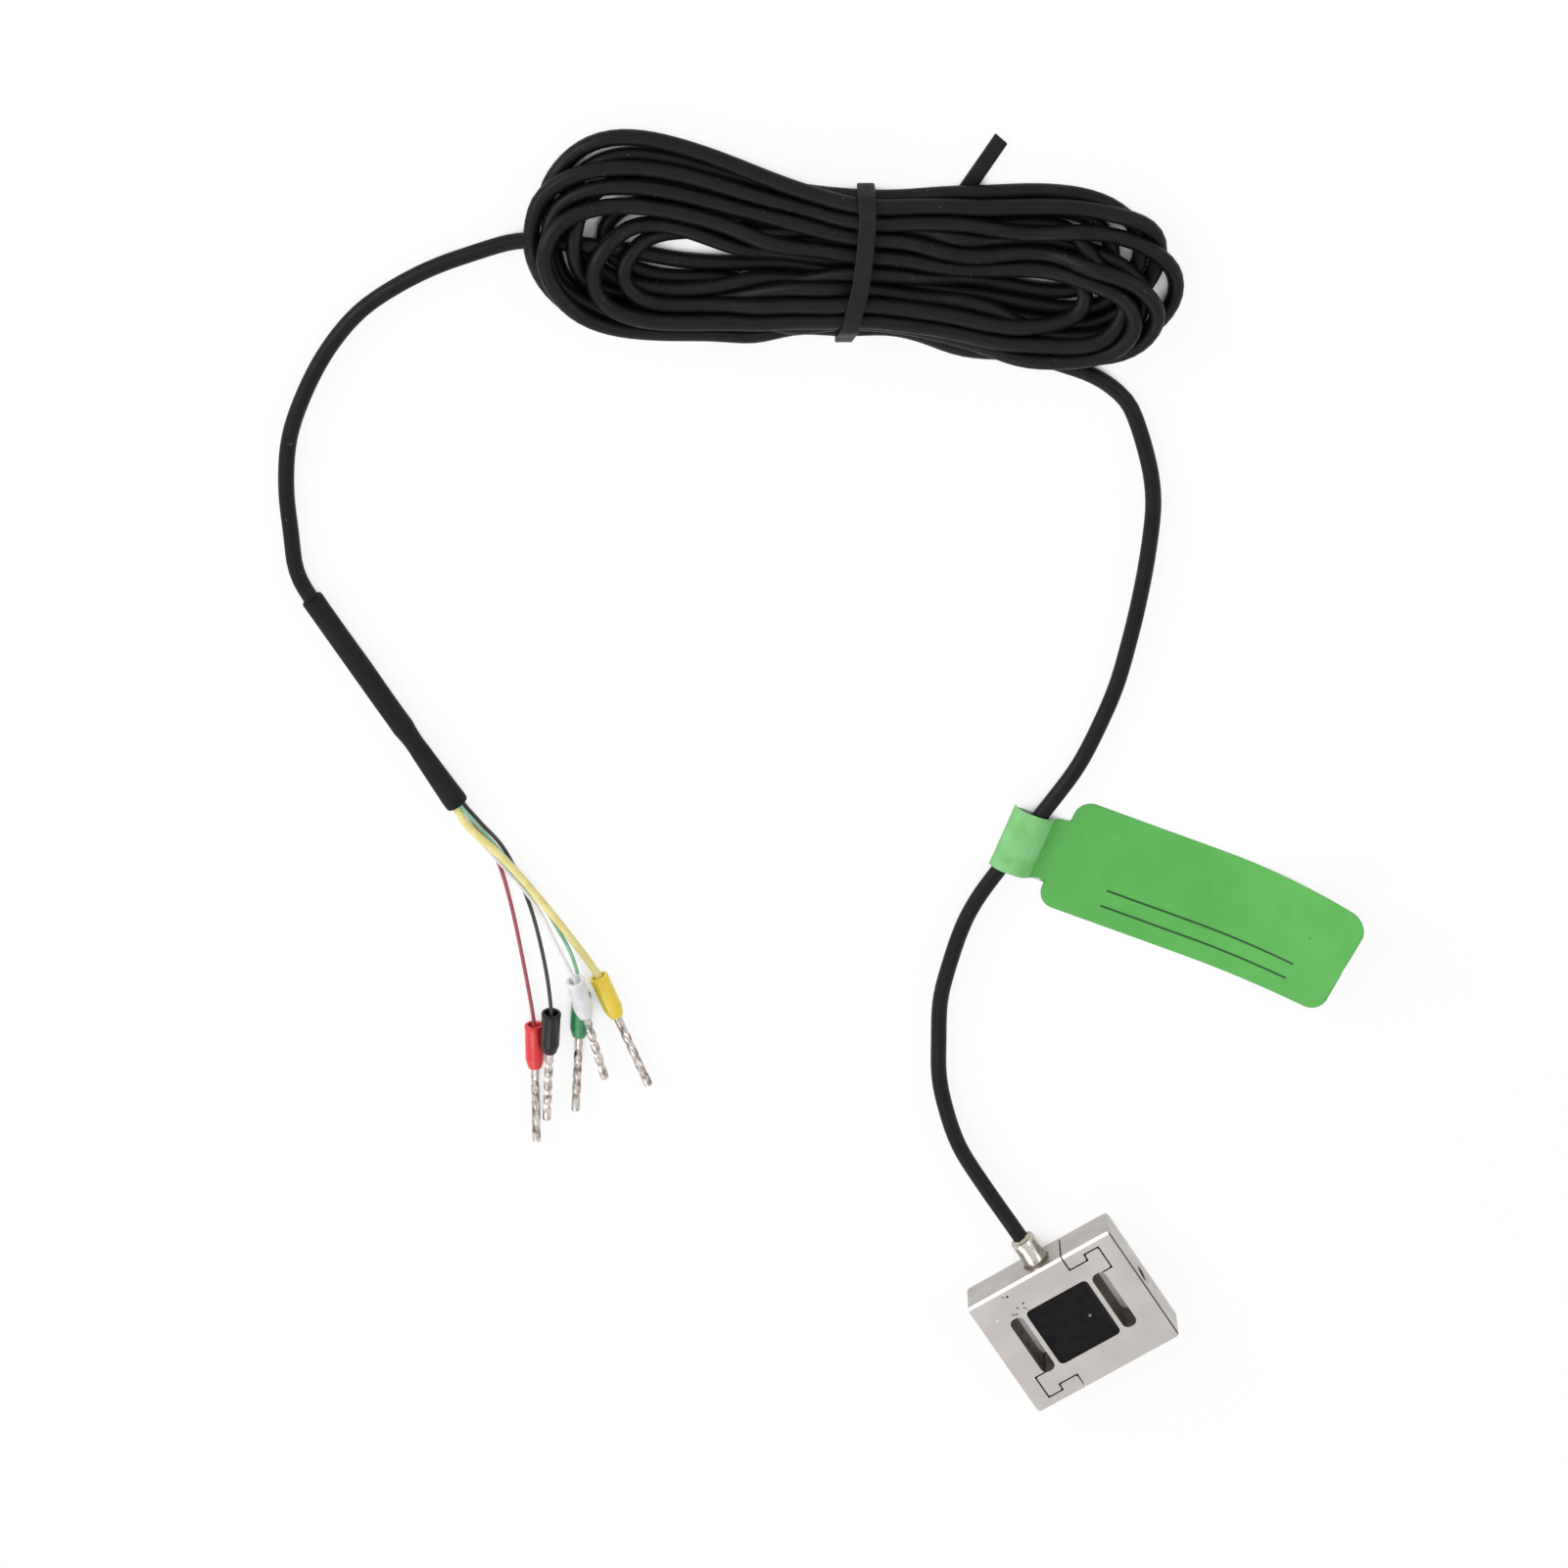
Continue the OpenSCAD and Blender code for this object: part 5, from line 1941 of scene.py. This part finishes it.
@dataclass
class Studio:
    """The camera of the photograph, a pale floor and soft lights."""

    camera_place: Point = (175.47, 348.00, 729.12)
    right: Point = (0.84595, -0.53327, 0.0)
    up: Point = (0.48953, 0.77656, -0.39663)
    back: Point = (0.21151, 0.33553, 0.91798)
    lens: float = 146.41
    sensor: float = 36.0
    floor_size: float = 6.0
    paper: str = "#F8F8F8"
    paper_share: float = 0.12
    shade_reach: float = 6.0
    room_light: float = 0.55
    aim: Point = (0.02, 0.09, 0)
    lamps: tuple[tuple[str, Point, float, float], ...] = (
        ("key softbox", (-0.55, 1.05, 0.75), 0.9, 9.0),
        ("side softbox", (-0.9, -0.5, 0.9), 0.8, 3.6),
        ("fill softbox", (1.0, -0.2, 1.0), 0.8, 2.7),
    )

    def build(self) -> None:
        """Makes the camera, the floor, the sky and the lamps."""
        self.camera()
        self.floor()
        self.sky()
        for name, place, size, power in self.lamps:
            self.lamp(name, place, size, power)

    def camera(self) -> None:
        """Puts the camera where the photograph was taken from."""
        lens = bpy.data.cameras.new("photo camera")
        lens.lens = self.lens
        lens.sensor_width = self.sensor
        lens.clip_end = 20
        camera = bpy.data.objects.new("photo camera", lens)
        bpy.context.scene.collection.objects.link(camera)
        matrix = Matrix.Identity(4)
        for column, axis in enumerate((self.right, self.up, self.back)):
            for row in range(3):
                matrix[row][column] = axis[row]
        camera.matrix_world = Matrix.Translation(Vector(self.camera_place) * MM) @ matrix
        bpy.context.scene.camera = camera

    def floor(self) -> None:
        """Lays the pale paper that the part is photographed on."""
        deselect()
        bpy.ops.mesh.primitive_plane_add(size=self.floor_size, location=(0, 0, 0))
        sheet = bpy.context.object
        sheet.name = "studio_paper"
        s = Surface("white studio paper")
        shade = s.add("BsdfDiffuse", {"Color": linear(self.paper)})
        tone = s.coated("#FFFFFF", [(s.patches(40, 2, (0.3, 0.7), (0, 0.1)), self.paper)])
        light = s.add("Emission", {"Color": tone, "Strength": 1.02})
        reach = {"Distance": self.shade_reach * MM}
        open_sky = s.add("AmbientOcclusion", reach, "AO", samples=8)
        steps = {"Value": open_sky, "From Min": 0.1, "From Max": 0.45, "To Min": 1.0,
                 "To Max": self.paper_share}
        share = s.add("MapRange", steps, "Result", interpolation_type="SMOOTHSTEP")
        dim = s.add("MixShader", {0: share, 1: light, 2: shade})
        both = s.add("MixShader", {0: self.seen(s), 1: shade, 2: dim})
        s.tree.links.new(both, s.output.inputs["Surface"])
        sheet.data.materials.append(s.material)

    def seen(self, surface: "Surface | SkyTree") -> Link:
        """One for a ray that comes from the camera, or from a mirror or glass, else nought.

        Args:
            surface: The tree in which it is asked.

        Returns:
            The share.
        """
        rays = surface.add("LightPath", {}).node.outputs
        kinds = ("Is Camera Ray", "Is Glossy Ray", "Is Transmission Ray")
        return surface.joined("MAXIMUM", [rays[kind] for kind in kinds])

    def sky(self) -> None:
        """Fills the room with soft light, and shows white behind the paper's edge."""
        world = bpy.data.worlds.new("studio")
        bpy.context.scene.world = world
        s = SkyTree(world)
        room = s.add("Background", {"Color": (1, 1, 1, 1), "Strength": self.room_light})
        white = s.add("Background", {"Color": (1, 1, 1, 1), "Strength": 1.0})
        both = s.add("MixShader", {0: self.seen(s), 1: room, 2: white})
        s.tree.links.new(both, s.output.inputs["Surface"])

    def lamp(self, name: str, place: Point, size: float, power: float) -> None:
        """Hangs a square softbox that faces the part.

        Args:
            name: The lamp's name.
            place: Where it hangs, in metres.
            size: Its side, in metres.
            power: Its power in watts.
        """
        light = bpy.data.lights.new(name, "AREA")
        light.size = size
        light.energy = power
        lamp = bpy.data.objects.new(name, light)
        bpy.context.scene.collection.objects.link(lamp)
        lamp.location = place
        lamp.rotation_mode = "QUATERNION"
        towards = Vector(self.aim) - Vector(place)
        lamp.rotation_quaternion = towards.to_track_quat("-Z", "Y")


class SkyTree(Surface):
    """The world's node tree, built up as a material's is."""

    def __init__(self, world: bpy.types.World) -> None:
        """Starts the world's tree with its output.

        Args:
            world: The world.
        """
        world.use_nodes = True
        self.tree = world.node_tree
        self.tree.nodes.clear()
        self.output = self.tree.nodes.new("ShaderNodeOutputWorld")


def corners(box: tuple[Vector, Vector]) -> list[list[float]]:
    """A box's two corners as plain numbers."""
    return [list(corner) for corner in box]


def main() -> None:
    """Builds the part piece by piece."""
    logging.basicConfig(level=logging.INFO, format="%(name)s: %(message)s")
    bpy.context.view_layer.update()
    bpy.context.scene.view_settings.view_transform = "Standard"
    Studio().build()
    cable = SignalCable()
    cable.build()
    gland = CableGland()
    gland.build()
    tie = HankTie(hank=cable.hank).build(cable.centreline)
    sleeve = HeatShrink().build()
    label = FlagLabel().build()
    models = FerruleModels()
    models.build()
    for colour in Colour:
        Pigtail(colour, models, wire=1.0 if colour is Colour.YELLOW else 0.5).build()
    models.clear()
    SensorBody().build()
    bpy.context.view_layer.update()


if __name__ == "__main__":
    main()
